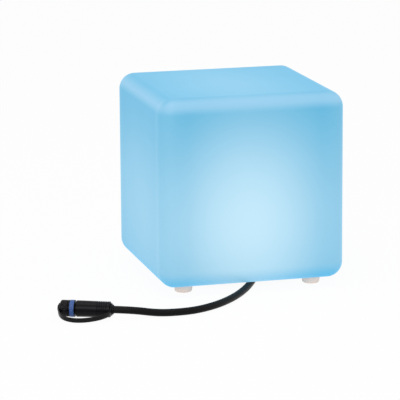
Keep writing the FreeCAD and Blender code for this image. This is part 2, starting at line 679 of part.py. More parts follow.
def driver():
    """The driver board on its spacers, with the parts soldered to it."""
    board = body("DriverBoard")
    block(board, "DriverPlate", DRIVER_MIDDLE, "driver_length", "driver_width", DRIVER_BOTTOM, "board_thick")
    for row, middle in enumerate(driver_corners()):
        round_hole(board, f"DriverHole{row}", middle, SMALL_HOLE, DRIVER_BOTTOM, "board_thick")
    piece(board, "driver_board")

    screws = body("DriverScrews")
    length = "board_thick + spacer_height - pilot_floor * 2"
    for row, middle in enumerate(driver_corners()):
        down_screw(screws, f"DriverScrew{row}", DRIVER_TOP, length, middle)
    piece(screws, "driver_screws")

    front = "(driver_back - driver_width + part_margin)"
    coil = body("DriverCoil")
    turned(coil, "Coil", hoop("coil_bore", "coil_radius", DRIVER_TOP, f"{DRIVER_TOP} + coil_height"),
           ("-(coil_offset + coil_radius)", f"{front} + coil_radius"))
    piece(coil, "driver_coil")

    capacitors = body("DriverCapacitors")
    capacitor = rod("capacitor_radius", DRIVER_TOP, f"{DRIVER_TOP} + capacitor_height")
    for row in (0, 1):
        at = (f"capacitor_offset + capacitor_radius + {row} * capacitor_pitch", f"{front} + capacitor_radius")
        turned(capacitors, f"Capacitor{row}", capacitor, at)
    piece(capacitors, "driver_capacitors")

    chip = body("ControlChip")
    middle = ("control_chip_side / 2", f"{DRIVER_MIDDLE[1]} + control_chip_back")
    block(chip, "Chip", middle, "control_chip_side", "control_chip_side", DRIVER_TOP, "control_chip_height")
    piece(chip, "control_chip")


def terminal_block():
    """Two-way screw terminal at the back of the driver board."""
    owner = body("TerminalBlock")
    middle_x, middle_y = TERMINAL_MIDDLE
    # drawn on its back, so that the wire holes run along its own Z, then stood up
    block(owner, "TerminalForm", ("0", "terminal_height / 2"), "terminal_length", "terminal_height", "0",
          "terminal_depth")
    for side in (-1, 1):
        round_hole(owner, f"WireHole{side + 1}", (f"{side} * terminal_pitch / 2", "terminal_wire_level"),
                   "wire_radius + wire_gap", "terminal_depth / 2", "terminal_depth / 2")
    place(owner, middle_x, f"{middle_y} - terminal_depth / 2", DRIVER_TOP,
          "rotation(vector(0; 0; 1); 180) * rotation(vector(1; 0; 0); 90)")
    piece(owner, "terminal_block")

    screws = body("TerminalScrews")
    top = f"{DRIVER_TOP} + terminal_height"
    outline = rod("terminal_screw", top, f"{top} + terminal_screw_height")
    for side in (-1, 1):
        at = (f"{middle_x} + {side} * terminal_pitch / 2", middle_y)
        turned(screws, f"TerminalScrew{side + 1}", outline, at)
    piece(screws, "terminal_screws")


# ---------------------------------------------------------------- the gland, along its own axis

GLAND_TURN = "rotation(vector(1; 0; 0); 90)"


def gland_piece(name, label):
    """A body whose own +Z runs out of the gland's mouth, from the face of the wall."""
    owner = body(name)
    place(owner, "gland_side", "gland_wall", GLAND_LEVEL, GLAND_TURN)
    return piece(owner, label)


def pierced(owner, name, steps):
    """Cut round steps along the axis: (radius, from, to)."""
    for row, (radius, start, end) in enumerate(steps):
        bored(owner, f"{name}{row}", [("0", start), (radius, start), (radius, end), ("0", end)])


def gland():
    """Screwed cable gland: body, washer, lock nut, rubber seal and cap nut."""
    bore, pocket = "(cable_radius + gland_slack)", "(gland_thread - gland_seal_wall)"
    hex_end = "(gland_washer + gland_hex)"
    barrel_end = f"({hex_end} + gland_barrel)"
    seal_start = f"({hex_end} - seal_overlap)"
    seal_end = f"({barrel_end} + seal_stand)"
    shank_end = "(cover_wall + gland_shank)"
    main = gland_piece("GlandBody", "gland_body")
    turned(main, "GlandShank", [("0", f"-{shank_end}"), ("gland_thread", f"-{shank_end}"),
                                ("gland_thread", barrel_end), ("0", barrel_end)])
    hexagon(main, "GlandHex", "gland_across", "gland_washer", "gland_hex")
    pierced(main, "GlandBore", [(bore, f"-{shank_end}", barrel_end), (pocket, seal_start, barrel_end)])

    washer = gland_piece("GlandWasher", "gland_washer")
    turned(washer, "WasherForm", hoop("gland_thread + slip", "gland_across / 2", "0", "gland_washer"))

    nut = gland_piece("GlandLockNut", "gland_lock_nut")
    hexagon(nut, "LockNutForm", "gland_across", "-(cover_wall + lock_nut)", "lock_nut")
    pierced(nut, "LockNutBore", [("gland_thread + slip", "-(cover_wall + lock_nut)", "-cover_wall")])

    seal = gland_piece("GlandSeal", "gland_seal")
    turned(seal, "SealForm", hoop("cable_radius + slip", f"{pocket} - slip", seal_start, seal_end))

    cap = gland_piece("GlandCapNut", "gland_cap_nut")
    cap_start = f"({hex_end} + cap_nut_gap)"
    grip_end = f"({barrel_end} + cap_nut_grip)"
    hexagon(cap, "CapNutHex", "gland_across", cap_start, f"{grip_end} - {cap_start}")
    turned(cap, "CapNutDome", [
        ("0", grip_end), ("gland_across / 2", grip_end),
        ("gland_thread + slip * 2 + nut_chamfer", f"{grip_end} + cap_nut_shoulder"),
        ("cable_radius + cap_nut_lip", "gland_mouth"), ("0", "gland_mouth")])
    pierced(cap, "CapNutBore", [("gland_thread + slip", cap_start, f"{barrel_end} + slip"),
                                (pocket, cap_start, f"{seal_end} + slip"),
                                (bore, cap_start, "gland_mouth")])

    tail = gland_piece("CableTail", "cable_tail")
    turned(tail, "TailForm", rod("cable_radius", "-tail_length", "gland_mouth"))


# ---------------------------------------------------------------- the plug, along its own axis

PLUG_LEVEL = "band_radius"
PLUG_TURN = "rotation(vector(0; 0; 1); plug_yaw) * rotation(vector(0; 1; 0); 90)"
NUT_START = "(plug_body + neck_length)"
NUT_END = f"({NUT_START} + nut_length)"
NOSE_END = "(plug_body + nose_length)"
LIP_END = f"({NUT_START} + lip_thick)"
CAP_START = f"({NUT_END} + cap_gap)"
CAP_END = f"({CAP_START} + cap_side + cap_slope)"
PLUG_REAR = "(seat_length + collar_length)"


def plug_piece(name, label):
    """A body whose own +Z points out of the plug's front, from the rear face of its body."""
    owner = body(name)
    place(owner, "plug_x", "plug_y", PLUG_LEVEL, PLUG_TURN)
    return piece(owner, label)


def plug_body():
    """Moulded plug: grip with grooves, a neck, and the nose that carries nut and seal."""
    owner = plug_piece("PlugBody", "plug_body")
    snap_start = f"({LIP_END} + slip * 2)"
    snap_end = f"({snap_start} + snap_thick + slip)"
    seal_end = f"({NOSE_END} - seal_back)"
    seal_start = f"({seal_end} - seal_wire)"
    turned(owner, "PlugForm", [
        ("0", f"-{PLUG_REAR}"), ("collar_radius", f"-{PLUG_REAR}"), ("collar_radius", "-seat_length"),
        ("seat_radius", "-seat_length"), ("seat_radius", "0"), ("plug_rear_radius", "0"),
        ("plug_front_radius", "plug_body"), ("neck_radius", "plug_body"),
        ("neck_radius", f"{NUT_START} - slip * 2"), ("nose_radius", f"{NUT_START} - slip * 2"),
        ("nose_radius", snap_start), ("snap_groove", snap_start), ("snap_groove", snap_end),
        ("nose_tip_radius", snap_end), ("nose_tip_radius", seal_start), ("seal_groove", seal_start),
        ("seal_groove", seal_end), ("nose_tip_radius", seal_end), ("nose_tip_radius", NOSE_END),
        ("0", NOSE_END)])
    floor, outside = "plug_rear_radius - grip_depth", "plug_front_radius + grip_depth"
    groove = bored(owner, "GripGroove", hoop(floor, outside, "grip_first", "grip_first + grip_width"))
    row = owner.newObject("PartDesign::LinearPattern", "GripGrooves")
    row.Originals = [groove]
    row.Direction = (origin(owner, "Z_Axis"), [""])
    bind(row, {"Length": "grip_pitch * (grip_grooves - 1)", "Occurrences": "grip_grooves"})
    owner.Tip = row
    pin_start = f"({NOSE_END} - pin_back - pin_length)"
    for side in (-1, 1):
        middle = ("0", f"{side} * core_offset")
        round_hole(owner, f"CoreBore{side + 1}", middle, "core_radius + slip", f"-{PLUG_REAR}",
                   f"{pin_start} + {PLUG_REAR}")
        round_hole(owner, f"PinBore{side + 1}", middle, "pin_radius + slip", pin_start,
                   f"{NOSE_END} - {pin_start}")

    cores = plug_piece("PlugCores", "plug_cores")
    pins = plug_piece("ContactPins", "contact_pins")
    for side in (-1, 1):
        at = ("0", f"{side} * core_offset")
        turned(cores, f"Core{side + 1}", rod("core_radius", f"-{PLUG_REAR}", pin_start), at)
        turned(pins, f"Pin{side + 1}", rod("pin_radius", pin_start, f"{NOSE_END} - pin_back"), at)

    snap = plug_piece("SnapRing", "snap_ring")
    start = f"{snap_start} + slip"
    turned(snap, "SnapForm", hoop("snap_groove + slip", "snap_radius", start, f"{start} + snap_thick - slip"))

    seal = plug_piece("NoseSeal", "nose_seal")
    turned(seal, "NoseSealForm", hoop("seal_groove + slip", "spigot_bore - slip", f"{seal_start} + slip",
                                      f"{seal_end} - slip"))


def coupling_nut():
    """Nut that turns on the nose behind the snap ring, with its coloured, ribbed band."""
    owner = plug_piece("CouplingNut", "coupling_nut")
    band_start = f"({NUT_START} + band_start)"
    band_end = f"({band_start} + band_width)"
    edge = "(nut_radius - nut_chamfer)"
    turned(owner, "NutForm", [
        ("nose_radius + slip", NUT_START), (edge, NUT_START), ("nut_radius", f"{NUT_START} + nut_chamfer"),
        ("nut_radius", band_start), ("band_seat", band_start), ("band_seat", band_end),
        ("nut_radius", band_end), ("nut_radius", NUT_END), ("nut_bore", NUT_END), ("nut_bore", LIP_END),
        ("nose_radius + slip", LIP_END)])

    band = plug_piece("GripBand", "grip_band")
    turned(band, "BandForm", hoop("band_seat + slip", "band_radius", f"{band_start} + slip",
                                  f"{band_end} - slip"))
    rib = round_hole(band, "BandGroove", ("band_radius + band_groove / 2", "0"), "band_groove",
                     f"{band_start} + band_groove", "band_width - band_groove * 2")
    around(band, "BandGrooves", rib, "band_ribs")


def end_cap():
    """Cap that closes the plug: a spigot inside the nut, a fluted grip, a button for the strap."""
    owner = plug_piece("EndCap", "end_cap")
    straight_end = f"({CAP_START} + cap_side)"
    button_start = f"({CAP_END} + strap_thick + slip * 4)"
    turned(owner, "CapForm", [
        ("spigot_bore", f"{CAP_START} - spigot_length"), ("spigot_radius", f"{CAP_START} - spigot_length"),
        ("spigot_radius", CAP_START), ("cap_radius - nut_chamfer", CAP_START),
        ("cap_radius", f"{CAP_START} + nut_chamfer"), ("cap_radius", straight_end),
        ("cap_end_radius", CAP_END), ("button_neck", CAP_END), ("button_neck", button_start),
        ("button_radius", button_start), ("button_radius - nut_chamfer", f"{button_start} + button_head"),
        ("0", f"{button_start} + button_head"), ("0", f"{CAP_START} + spigot_floor"),
        ("spigot_bore", f"{CAP_START} + spigot_floor")])
    flute = round_hole(owner, "Flute", ("cap_radius + cap_flute_radius / 2", "0"), "cap_flute_radius",
                       f"{CAP_START} + cap_flute_margin", "cap_flute_length")
    around(owner, "Flutes", flute, "cap_flutes")


# the strap's middle line in its own plane: (out from the plug's axis, along the plug)
STRAP_LINE = [(17.6, 4.4), (23.6, 13.5), (27.4, 25.0), (27.0, 36.6), (21.2, 46.5)]


def cap_strap():
    """Flat strap in one plane, with a ring at each end: one round the plug, one round the button."""
    thick = number("strap_thick")
    rear = -number("seat_length") + thick / 2 + number("slip")
    front = number(CAP_END) + thick / 2 + number("slip * 2")
    rear_out, front_out = number("strap_rear_ring"), number("strap_front_ring")
    root, sink = number("strap_root"), number("strap_sink")
    points = [(rear_out - sink, rear), (rear_out + root, rear), *STRAP_LINE,
              (front_out + root, front), (front_out - sink, front)]
    line, radii = rounded_path([Vector(out, 0, along) for out, along in points])
    first, second = Vector(points[0][0], 0, points[0][1]), Vector(points[1][0], 0, points[1][1])
    way = (second - first).normalize()
    across = Vector(0, 1, 0).cross(way) * (thick / 2)
    wide = Vector(0, number("strap_width") / 2, 0)
    corners = [first + across + wide, first + across - wide, first - across - wide, first - across + wide]
    band = line.makePipeShell([Part.makePolygon(corners + corners[:1])], True, False)
    rings = [Part.makeCylinder(outer, thick, Vector(0, 0, middle - thick / 2))
             for outer, middle in ((rear_out, rear), (front_out, front))]
    bores = [Part.makeCylinder(number(bore), thick * 2, Vector(0, 0, middle - thick))
             for bore, middle in (("seat_radius + slip * 2", rear), ("button_neck + slip * 2", front))]
    strap = band.multiFuse(rings).cut(bores[0]).cut(bores[1]).removeSplitter()
    item = shaped("CapStrap", "cap_strap", strap.Solids[0])
    turn = f"{PLUG_TURN} * rotation(vector(0; 0; 1); 90 - strap_drop)"
    place(item, "plug_x", "plug_y", PLUG_LEVEL, turn)


# ---------------------------------------------------------------- the cable and the inner wires

# where the cable lies between the gland and the plug, as (x, y, height of its middle)
CABLE_POINTS = [(20.8, -29.5, 12.3), (13.2, -49.5, 3.8), (2.5, -73.0, 3.8), (-9.5, -94.5, 3.8),
                (-23.0, -115.0, 3.8), (-39.5, -134.6, 3.8), (-58.5, -151.4, 3.8), (-80.0, -163.4, 3.8),
                (-100.0, -166.6, 3.8), (-121.5, -163.9, 3.8)]
END_RUN = 20  # straight run at each end of the cable


def cable():
    """The free cable, square to the gland's mouth and to the plug's collar."""
    mouth = Vector(number("gland_side"), number("gland_wall - gland_mouth"), number(GLAND_LEVEL))
    yaw = math.radians(number("plug_yaw"))
    ahead = Vector(math.cos(yaw), math.sin(yaw), 0)
    entry = Vector(number("plug_x"), number("plug_y"), number(PLUG_LEVEL)) - ahead * number(PLUG_REAR)
    points = [mouth, mouth + Vector(0, -END_RUN, 0), *[Vector(*point) for point in CABLE_POINTS],
              entry - ahead * END_RUN, entry]
    solid, length, radii = tube(points, number("cable_radius"))
    print("cable length", round(length, 1), "radii", [round(radius, 1) for radius in radii])
    report_volume("cable", solid, "cable_radius", length)
    shaped("Cable", "cable", solid)


def report_volume(name, solid, radius, length):
    """Compare a bar's volume with its section times its length."""
    expected = math.pi * number(radius) ** 2 * length
    print(name, "volume over section times length", round(solid.Volume / expected, 5))


def supply_wires():
    """Two wires from the cable's inner end, up behind the pan and over to the terminal block."""
    middle_x, middle_y = number(TERMINAL_MIDDLE[0]), number(TERMINAL_MIDDLE[1])
    start, level = number("gland_wall + tail_length"), number(f"{DRIVER_TOP} + terminal_wire_level")
    behind, end = start + number("wire_reach"), middle_y + number("wire_end_gap")
    wires = []
    for side in (-1, 1):
        low_x = number("gland_side") + side * number("core_offset")
        high_x = middle_x + side * number("terminal_pitch") / 2
        points = [Vector(low_x, start, number(GLAND_LEVEL)), Vector(low_x, behind, number(GLAND_LEVEL)),
                  Vector(high_x, behind, level), Vector(high_x, end, level)]
        wires.append(tube(points, number("wire_radius"))[0])
    shaped("SupplyWires", "supply_wires", Part.makeCompound(wires))


def led_wires():
    """Two wires from the driver board through the heat plate to the chip board."""
    x, y = number(WIRE_HOLE[0]), number(WIRE_HOLE[1])
    low, pad = number(DRIVER_TOP), number(LIGHT_BOARD_TOP)
    rise, back = pad + number("light_wire_rise"), y + number("light_wire_reach")
    wires = []
    for side in (-1, 1):
        wire_x = x + side * number("wire_radius + wire_gap")
        points = [Vector(wire_x, y, low), Vector(wire_x, y, rise), Vector(wire_x, back, rise),
                  Vector(wire_x, back, pad)]
        wires.append(tube(points, number("wire_radius"))[0])
    shaped("LedWires", "led_wires", Part.makeCompound(wires))


# ---------------------------------------------------------------- all the pieces

diffuser_shell()
ring_of("cover_inserts", insert_outline(SEAT), COVER_CIRCLE, 0, "cover_screws")
ring_of("foot_inserts", insert_outline(UNDERSIDE), FOOT_CIRCLE, FOOT_ANGLE, 4)
for end_name, end in (("front", -1), ("rear", 1)):
    for side_name, side in (("left", -1), ("right", 1)):
        foot(f"foot_{end_name}_{side_name}", side, end)
ring_of("foot_screws", up_screw("foot_recess", "foot_screw_length"), FOOT_CIRCLE, FOOT_ANGLE, 4)
base_cover()
gasket = body("BaseGasket")
turned(gasket, "GasketForm", gasket_outline("0"))
piece(gasket, "base_gasket")
ring_of("cover_screws", up_screw(FLANGE_BOTTOM, "cover_screw_length"), COVER_CIRCLE, 0, "cover_screws")
light_module()
driver()
terminal_block()
gland()
plug_body()
coupling_nut()
end_cap()
cap_strap()
cable()
supply_wires()
led_wires()

doc.recompute()
for item in doc.Objects:
    if {"Invalid", "Error"} & set(item.State):
        raise RuntimeError(f"{item.Label} failed: {item.State}")
for item in PIECES:
    if item.Shape.isNull() or not item.Shape.isValid():
        raise RuntimeError(f"{item.Label} has no valid shape")

os.makedirs("parts", exist_ok=True)
for item in PIECES:
    item.Shape.exportStep(f"parts/{item.Label}.step")
    print(item.Label, len(item.Shape.Solids), "solids,", round(item.Shape.Volume), "mm3")
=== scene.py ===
"""Studio scene of a glowing cube light with its plug-in cable and capped coupling.

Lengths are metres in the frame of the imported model: +Z up, -Y to the front, and the origin on
the ground under the middle of the cube.
"""
import json
import math

import bmesh
import bpy
from bpy.props import FloatProperty, FloatVectorProperty, IntProperty, PointerProperty
from bpy.types import Operator, Panel, PropertyGroup
from mathutils import Matrix, Vector


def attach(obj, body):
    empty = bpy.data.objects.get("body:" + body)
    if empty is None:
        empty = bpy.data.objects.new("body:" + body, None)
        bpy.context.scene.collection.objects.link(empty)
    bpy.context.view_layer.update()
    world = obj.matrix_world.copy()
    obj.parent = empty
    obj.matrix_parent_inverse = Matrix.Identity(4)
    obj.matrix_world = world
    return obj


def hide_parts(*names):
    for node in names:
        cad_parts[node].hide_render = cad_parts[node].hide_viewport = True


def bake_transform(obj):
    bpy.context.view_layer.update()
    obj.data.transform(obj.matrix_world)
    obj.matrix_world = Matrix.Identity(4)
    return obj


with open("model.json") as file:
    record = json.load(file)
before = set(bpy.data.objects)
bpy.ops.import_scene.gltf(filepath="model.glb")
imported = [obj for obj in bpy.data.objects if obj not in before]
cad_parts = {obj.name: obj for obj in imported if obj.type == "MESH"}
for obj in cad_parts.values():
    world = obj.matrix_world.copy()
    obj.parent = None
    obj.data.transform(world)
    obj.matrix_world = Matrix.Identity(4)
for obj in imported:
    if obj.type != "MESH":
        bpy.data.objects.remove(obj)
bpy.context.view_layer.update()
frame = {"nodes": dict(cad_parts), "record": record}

bl_info = {
    "name": "Cube light studio",
    "version": (1, 0, 0),
    "blender": (4, 5, 0),
    "location": "View3D > Sidebar > Cube light",
    "description": "Glowing cube light with its cable, plug and cap, in a plain studio",
    "category": "Object",
}


# ---------------------------------------------------------------- sizes and colours

def length(name, description, default):
    return FloatProperty(name=name, description=description, default=default, min=0,
                         unit="LENGTH", precision=4)


def count(name, description, default):
    return IntProperty(name=name, description=description, default=default, min=1)


def colour(name, description, default):
    return FloatVectorProperty(name=name, description=description, default=default,
                               subtype="COLOR", size=3, min=0, max=1)


def share(name, description, default):
    return FloatProperty(name=name, description=description, default=default, min=0, max=1,
                         subtype="FACTOR")


class CubeSizes(PropertyGroup):
    """The moulded cube and its feet."""
    side: length("Cube side", "Outside of the cube", 0.2)
    rounding: length("Edge rounding", "Radius of all the cube's edges", 0.017)
    wall: length("Wall", "Thickness of the moulded cube", 0.003)
    underside: length("Underside", "Ground to the cube's underside", 0.0085)
    opening: length("Opening", "Radius of the opening below", 0.06)
    seat: length("Cover seat", "Radius of the recess for the cover", 0.0715)
    seat_depth: length("Seat depth", "Depth of the recess for the cover", 0.004)
    foot_spread: length("Foot spread", "Middle of the cube to a foot, each way", 0.07)
    foot_top: length("Foot top", "Radius of a foot at the cube", 0.01)
    foot_tip: length("Foot tip", "Radius of a foot on the ground", 0.009)


class GlowLook(PropertyGroup):
    """How the light inside shows through the cube, and the painted highlight along its top edges."""
    source: length("Source height", "Ground to the brightest level of the walls", 0.074)
    bright: colour("Bright", "Glow where the wall is nearest to the light", (0.559, 0.699, 0.762))
    dim: colour("Dim", "Glow where the wall is far from the light", (0.042, 0.289, 0.473))
    deep: colour("Deep", "Glow of the lowest edges", (0.0, 0.324, 0.594))
    # painted highlight: a pale colour laid along the top edges where a lamp's reflection would show
    rim: colour("Rim", "Glow of the edges round the top", (0.36, 0.50, 0.64))
    plastic: colour("Plastic", "Opal plastic without the light", (0.077, 0.19, 0.26))


class CableSizes(PropertyGroup):
    """The free cable between the gland and the plug."""
    diameter: length("Cable diameter", "Outside of the sheath", 0.0076)
    whole: length("Cable length", "Gland to plug", 0.3)
    sheath: colour("Sheath", "Rubber of the cable", (0.0045, 0.0036, 0.0038))


class PlugSizes(PropertyGroup):
    """The plug, its nut and its cap, measured along the plug from its rear face."""
    body: length("Plug body", "Length of the plug's body", 0.0347)
    nut_start: length("Nut", "Rear edge of the coupling nut", 0.036)
    nut_end: length("Nut front", "Front edge of the coupling nut", 0.043)
    cap_start: length("Cap", "Rear edge of the cap", 0.0433)
    band_ribs: count("Band grooves", "Grooves round the coloured band", 26)
    cap_flutes: count("Cap flutes", "Flutes round the cap", 26)
    grip_grooves: count("Grip grooves", "Grooves round the rear of the body", 5)
    plastic: colour("Plug plastic", "Moulded plug, nut and cap", (0.004, 0.0035, 0.005))
    band: colour("Band", "Coloured grip band", (0.023, 0.085, 0.30))


class StudioLook(PropertyGroup):
    """Lamps and background."""
    surround: share("Surround", "Brightness of the plain surroundings", 0.62)
    floor_white: share("Floor", "How far the floor shows plain white instead of its shadows", 0.95)


SETTINGS = {"cube": CubeSizes, "glow": GlowLook, "cable": CableSizes, "plug": PlugSizes,
            "studio": StudioLook}


class CubeLightSettings(PropertyGroup):
    """Everything that a user would change."""
    __annotations__ = {name: PointerProperty(type=group) for name, group in SETTINGS.items()}


# ---------------------------------------------------------------- node trees

class Value:
    """A number in a node tree that adds, subtracts, multiplies and divides."""

    def __init__(self, tree, socket):
        self.tree, self.socket = tree, socket

    def beside(self, output):
        """Another output of the same node."""
        return Value(self.tree, self.socket.node.outputs[output])

    def math(self, operation, *others):
        return self.tree.maths(operation, self, *others)

    def __add__(self, other):
        return self.math("ADD", other)

    def __sub__(self, other):
        return self.math("SUBTRACT", other)

    def __rsub__(self, other):
        return self.tree.maths("SUBTRACT", other, self)

    def __mul__(self, other):
        return self.math("MULTIPLY", other)

    def __truediv__(self, other):
        return self.math("DIVIDE", other)

    def __rtruediv__(self, other):
        return self.tree.maths("DIVIDE", other, self)

    def __pow__(self, other):
        return self.math("POWER", other)

    __radd__, __rmul__ = __add__, __mul__

    def within(self, low=0.0, high=1.0):
        return self.math("MAXIMUM", low).math("MINIMUM", high)

    def ramp(self, start, end):
        """0 up to one value, 1 from another on, and smooth between them."""
        part = ((self - start) / (end - start)).within()
        return part * part * (3 - part * 2)


class Tree:
    """A node tree that makes its nodes through one method."""

    def __init__(self, tree):
        self.tree = tree

    def node(self, kind, settings=None, sockets=(), output=0):
        node = self.tree.nodes.new(kind)
        for name, setting in (settings or {}).items():
            setattr(node, name, setting)
        pairs = sockets.items() if isinstance(sockets, dict) else enumerate(sockets)
        for key, value in pairs:
            self.feed(node.inputs[key], value)
        return Value(self, node.outputs[output]) if node.outputs else node

    def feed(self, socket, value):
        if isinstance(value, Value):
            self.tree.links.new(value.socket, socket)
        elif isinstance(value, list):
            for one in value:
                self.tree.links.new(one.socket, socket)
        else:
            socket.default_value = value

    def maths(self, operation, *values):
        return self.node("ShaderNodeMath", {"operation": operation}, values)

    def split(self, vector):
        x = self.node("ShaderNodeSeparateXYZ", None, [vector])
        return x, x.beside("Y"), x.beside("Z")

    def joined(self, x, y, z):
        return self.node("ShaderNodeCombineXYZ", None, [x, y, z])

    def vectors(self, operation, *values):
        return self.node("ShaderNodeVectorMath", {"operation": operation}, values)

    def scaled(self, vector, factor):
        return self.node("ShaderNodeVectorMath", {"operation": "SCALE"}, {0: vector, "Scale": factor})


# ---------------------------------------------------------------- finishes

class Finish(Tree):
    """A material round one shader."""

    def __init__(self, name, **plain):
        self.material = bpy.data.materials.new(name)
        self.material.use_nodes = True
        super().__init__(self.material.node_tree)
        self.shader = self.tree.nodes["Principled BSDF"]
        self.place = self.node("ShaderNodeTexCoord", output="Object")
        self.set({socket.replace("_", " "): value for socket, value in plain.items()})

    def set(self, sockets):
        for key, value in sockets.items():
            self.feed(self.shader.inputs[key], value)

    def noise(self, scale, detail=2.0, place=None):
        return self.node("ShaderNodeTexNoise", None, {
            "Vector": place or self.place, "Scale": scale, "Detail": detail})

    def mix(self, factor, first, second):
        """Between two colours."""
        return self.node("ShaderNodeMix", {"data_type": "RGBA"}, {
            0: factor, 6: opaque(first), 7: opaque(second)}, output=2)

    def tinted(self, factor, base, spread):
        """A colour that wanders a little darker and lighter."""
        dark, light = [part * (1 - spread) for part in base], [part * (1 + spread) for part in base]
        return self.mix(factor, dark, light)

    def bump(self, height, distance, strength=1.0):
        normal = self.node("ShaderNodeBump", None, {
            "Height": height, "Distance": distance, "Strength": strength})
        self.set({"Normal": normal})


def opaque(tint):
    return tint if isinstance(tint, Value) else (*tint, 1.0)


def moulded(name, tint, roughness, grain=0.00045, depth=0.00002, gloss=0.5):
    """Fine-grained moulded plastic or rubber."""
    finish = Finish(name, Specular_IOR_Level=gloss)
    cloud = finish.noise(90, detail=3)
    speck = finish.noise(1 / grain, detail=2)
    finish.set({"Base Color": finish.tinted(cloud, tint, spread=0.18),
                "Roughness": (cloud - 0.5) * 0.14 + (speck - 0.5) * 0.10 + roughness})
    finish.bump(speck, distance=depth, strength=0.6)
    return finish.material


def turned_metal(name, tint, roughness):
    """Machined metal with fine turning marks."""
    finish = Finish(name, Metallic=1.0)
    x, y, z = finish.split(finish.place)
    marks = finish.noise(700, detail=3, place=finish.joined(x * 0.15, y * 0.15, z * 6))
    patches = finish.noise(240, detail=2)
    finish.set({"Base Color": finish.tinted(patches, tint, spread=0.10),
                "Roughness": (marks - 0.5) * 0.25 + roughness})
    finish.bump(marks, distance=0.000015, strength=0.5)
    return finish.material


def circuit_board(name, tint, lines):
    """Lacquered board with faint copper tracks under the lacquer."""
    finish = Finish(name, Coat_Roughness=0.2)
    x, y, z = finish.split(finish.place)
    track = ((x / lines).math("FRACT").math("COMPARE", 0.5, 0.12)
             * (finish.noise(220, detail=1) - 0.5).math("SIGN").within())
    speck = finish.noise(1500, detail=2)
    lighter = [min(part * 1.5 + 0.03, 1) for part in tint]
    finish.set({"Base Color": finish.mix(track, tint, lighter), "Roughness": speck * 0.2 + 0.3,
                "Coat Weight": 0.4})
    finish.bump(track, distance=0.00003, strength=0.4)
    return finish.material


def opal_glow(cube, glow):
    """Opal plastic that carries the light from inside, brightest where the wall is near it, with a painted
    highlight along its top edges.
    """
    finish = Finish("Opal cube", Emission_Strength=1.0, Specular_IOR_Level=0.3)
    x, y, z = finish.split(finish.place)
    half = cube.side / 2
    away = [(part - middle) * fall for part, middle, fall in zip((x, y, z), (*GLOW_MIDDLE, glow.source),
                                                                 GLOW_FALL)]
    distance = sum(part * part for part in away).math("SQRT")
    cloud = finish.noise(14, detail=3)
    across, along = x.math("ABSOLUTE"), y.math("ABSOLUTE")
    edge = across.ramp(EDGE_START, half) * along.ramp(EDGE_START, half)
    lit = (1 - distance.ramp(0, half * LIGHT_REACH) + (cloud - 0.5) * GLOW_CLOUD
           + edge * EDGE_LIFT).within()
    low = 1 - z.ramp(*[cube.underside + cube.rounding * part for part in LOW_EDGE])
    shade = finish.mix(lit, glow.dim, glow.bright)
    shade = finish.mix(low * (1 - lit), shade, glow.deep)
    # painted highlight: a pale band along the top edges, mixed into the glow where a lamp's reflection
    # would show
    top = cube.underside + cube.side
    outermost = (across * HIGHLIGHT_SIDE_REACH).math("MAXIMUM", along)
    rim = (z.ramp(*[top - cube.rounding * part for part in TOP_EDGE])
           * outermost.ramp(*[half - cube.rounding * part for part in OUTER_EDGE]))
    shade = finish.mix(rim * PAINTED_HIGHLIGHT_SHARE, shade, glow.rim)
    speck = finish.noise(1900, detail=2)
    finish.set({"Base Color": finish.tinted(cloud, glow.plastic, spread=0.05), "Emission Color": shade,
                "Roughness": (speck - 0.5) * 0.12 + 0.46})
    finish.bump(speck + cloud * 2, distance=0.00003, strength=0.35)
    return finish.material


GLOW_MIDDLE = -0.006, -0.022     # where the glow is strongest, from the cube's middle
GLOW_FALL = 1.57, 0.77, 1.31     # how much sooner it fades along x, y and z
LIGHT_REACH = 2.33               # where it has faded, in halves of the cube's side
EDGE_START = 0.068               # where the upright edges start to glow more, from the middle
EDGE_LIFT = 0.13                 # how much more they glow
PAINTED_HIGHLIGHT_SHARE = 0.5                  # part of the painted highlight's own colour
HIGHLIGHT_SIDE_REACH = 0.95                  # how far the painted highlight reaches at the sides, against front and back
GLOW_CLOUD = 0.04                # unevenness of the glow
# where the low edges' glow and the painted highlight round the top start and end, in roundings of the
# cube's edges
LOW_EDGE, TOP_EDGE, OUTER_EDGE = (0.1, 1.15), (1, 0.4), (1, 0.3)


def foot_rubber():
    """Pale soft rubber, darker in patches towards the ground tip, with a painted glow that stands in for
    the cube's light on it.
    """
    # The emission is painted light: a warm glow in place of the light that the feet catch from the cube.
    finish = Finish("Foot rubber", Specular_IOR_Level=0.35, Emission_Strength=1.0,
                    Emission_Color=(0.26, 0.185, 0.145, 1))
    x, y, z = finish.split(finish.place)
    cloud = finish.noise(260, detail=3)
    # a darker copy of the rubber's colour, in patches, towards the ground tip
    darker_towards_tip = (1 - z.ramp(0.0004, 0.0030)) * cloud
    pale = finish.tinted(cloud, (0.85, 0.68, 0.59), spread=0.04)
    finish.set({"Base Color": finish.mix(darker_towards_tip * 0.4, pale, (0.58, 0.46, 0.40)),
                "Roughness": cloud * 0.15 + 0.5})
    finish.bump(finish.noise(1800, detail=2), distance=0.00003, strength=0.5)
    return finish.material


def cable_sheath(cable):
    """Rubber sheath with the slight unevenness of an extruded cable."""
    finish = Finish("Cable sheath", Specular_IOR_Level=0.1)
    cloud = finish.noise(60, detail=3)
    speck = finish.noise(2400, detail=3)
    finish.set({"Base Color": finish.tinted(cloud, cable.sheath, spread=0.25),
                "Roughness": cloud * 0.16 + (speck - 0.5) * 0.14 + 0.36})
    finish.bump(speck + cloud * 1.5, distance=0.00004, strength=0.5)
    return finish.material


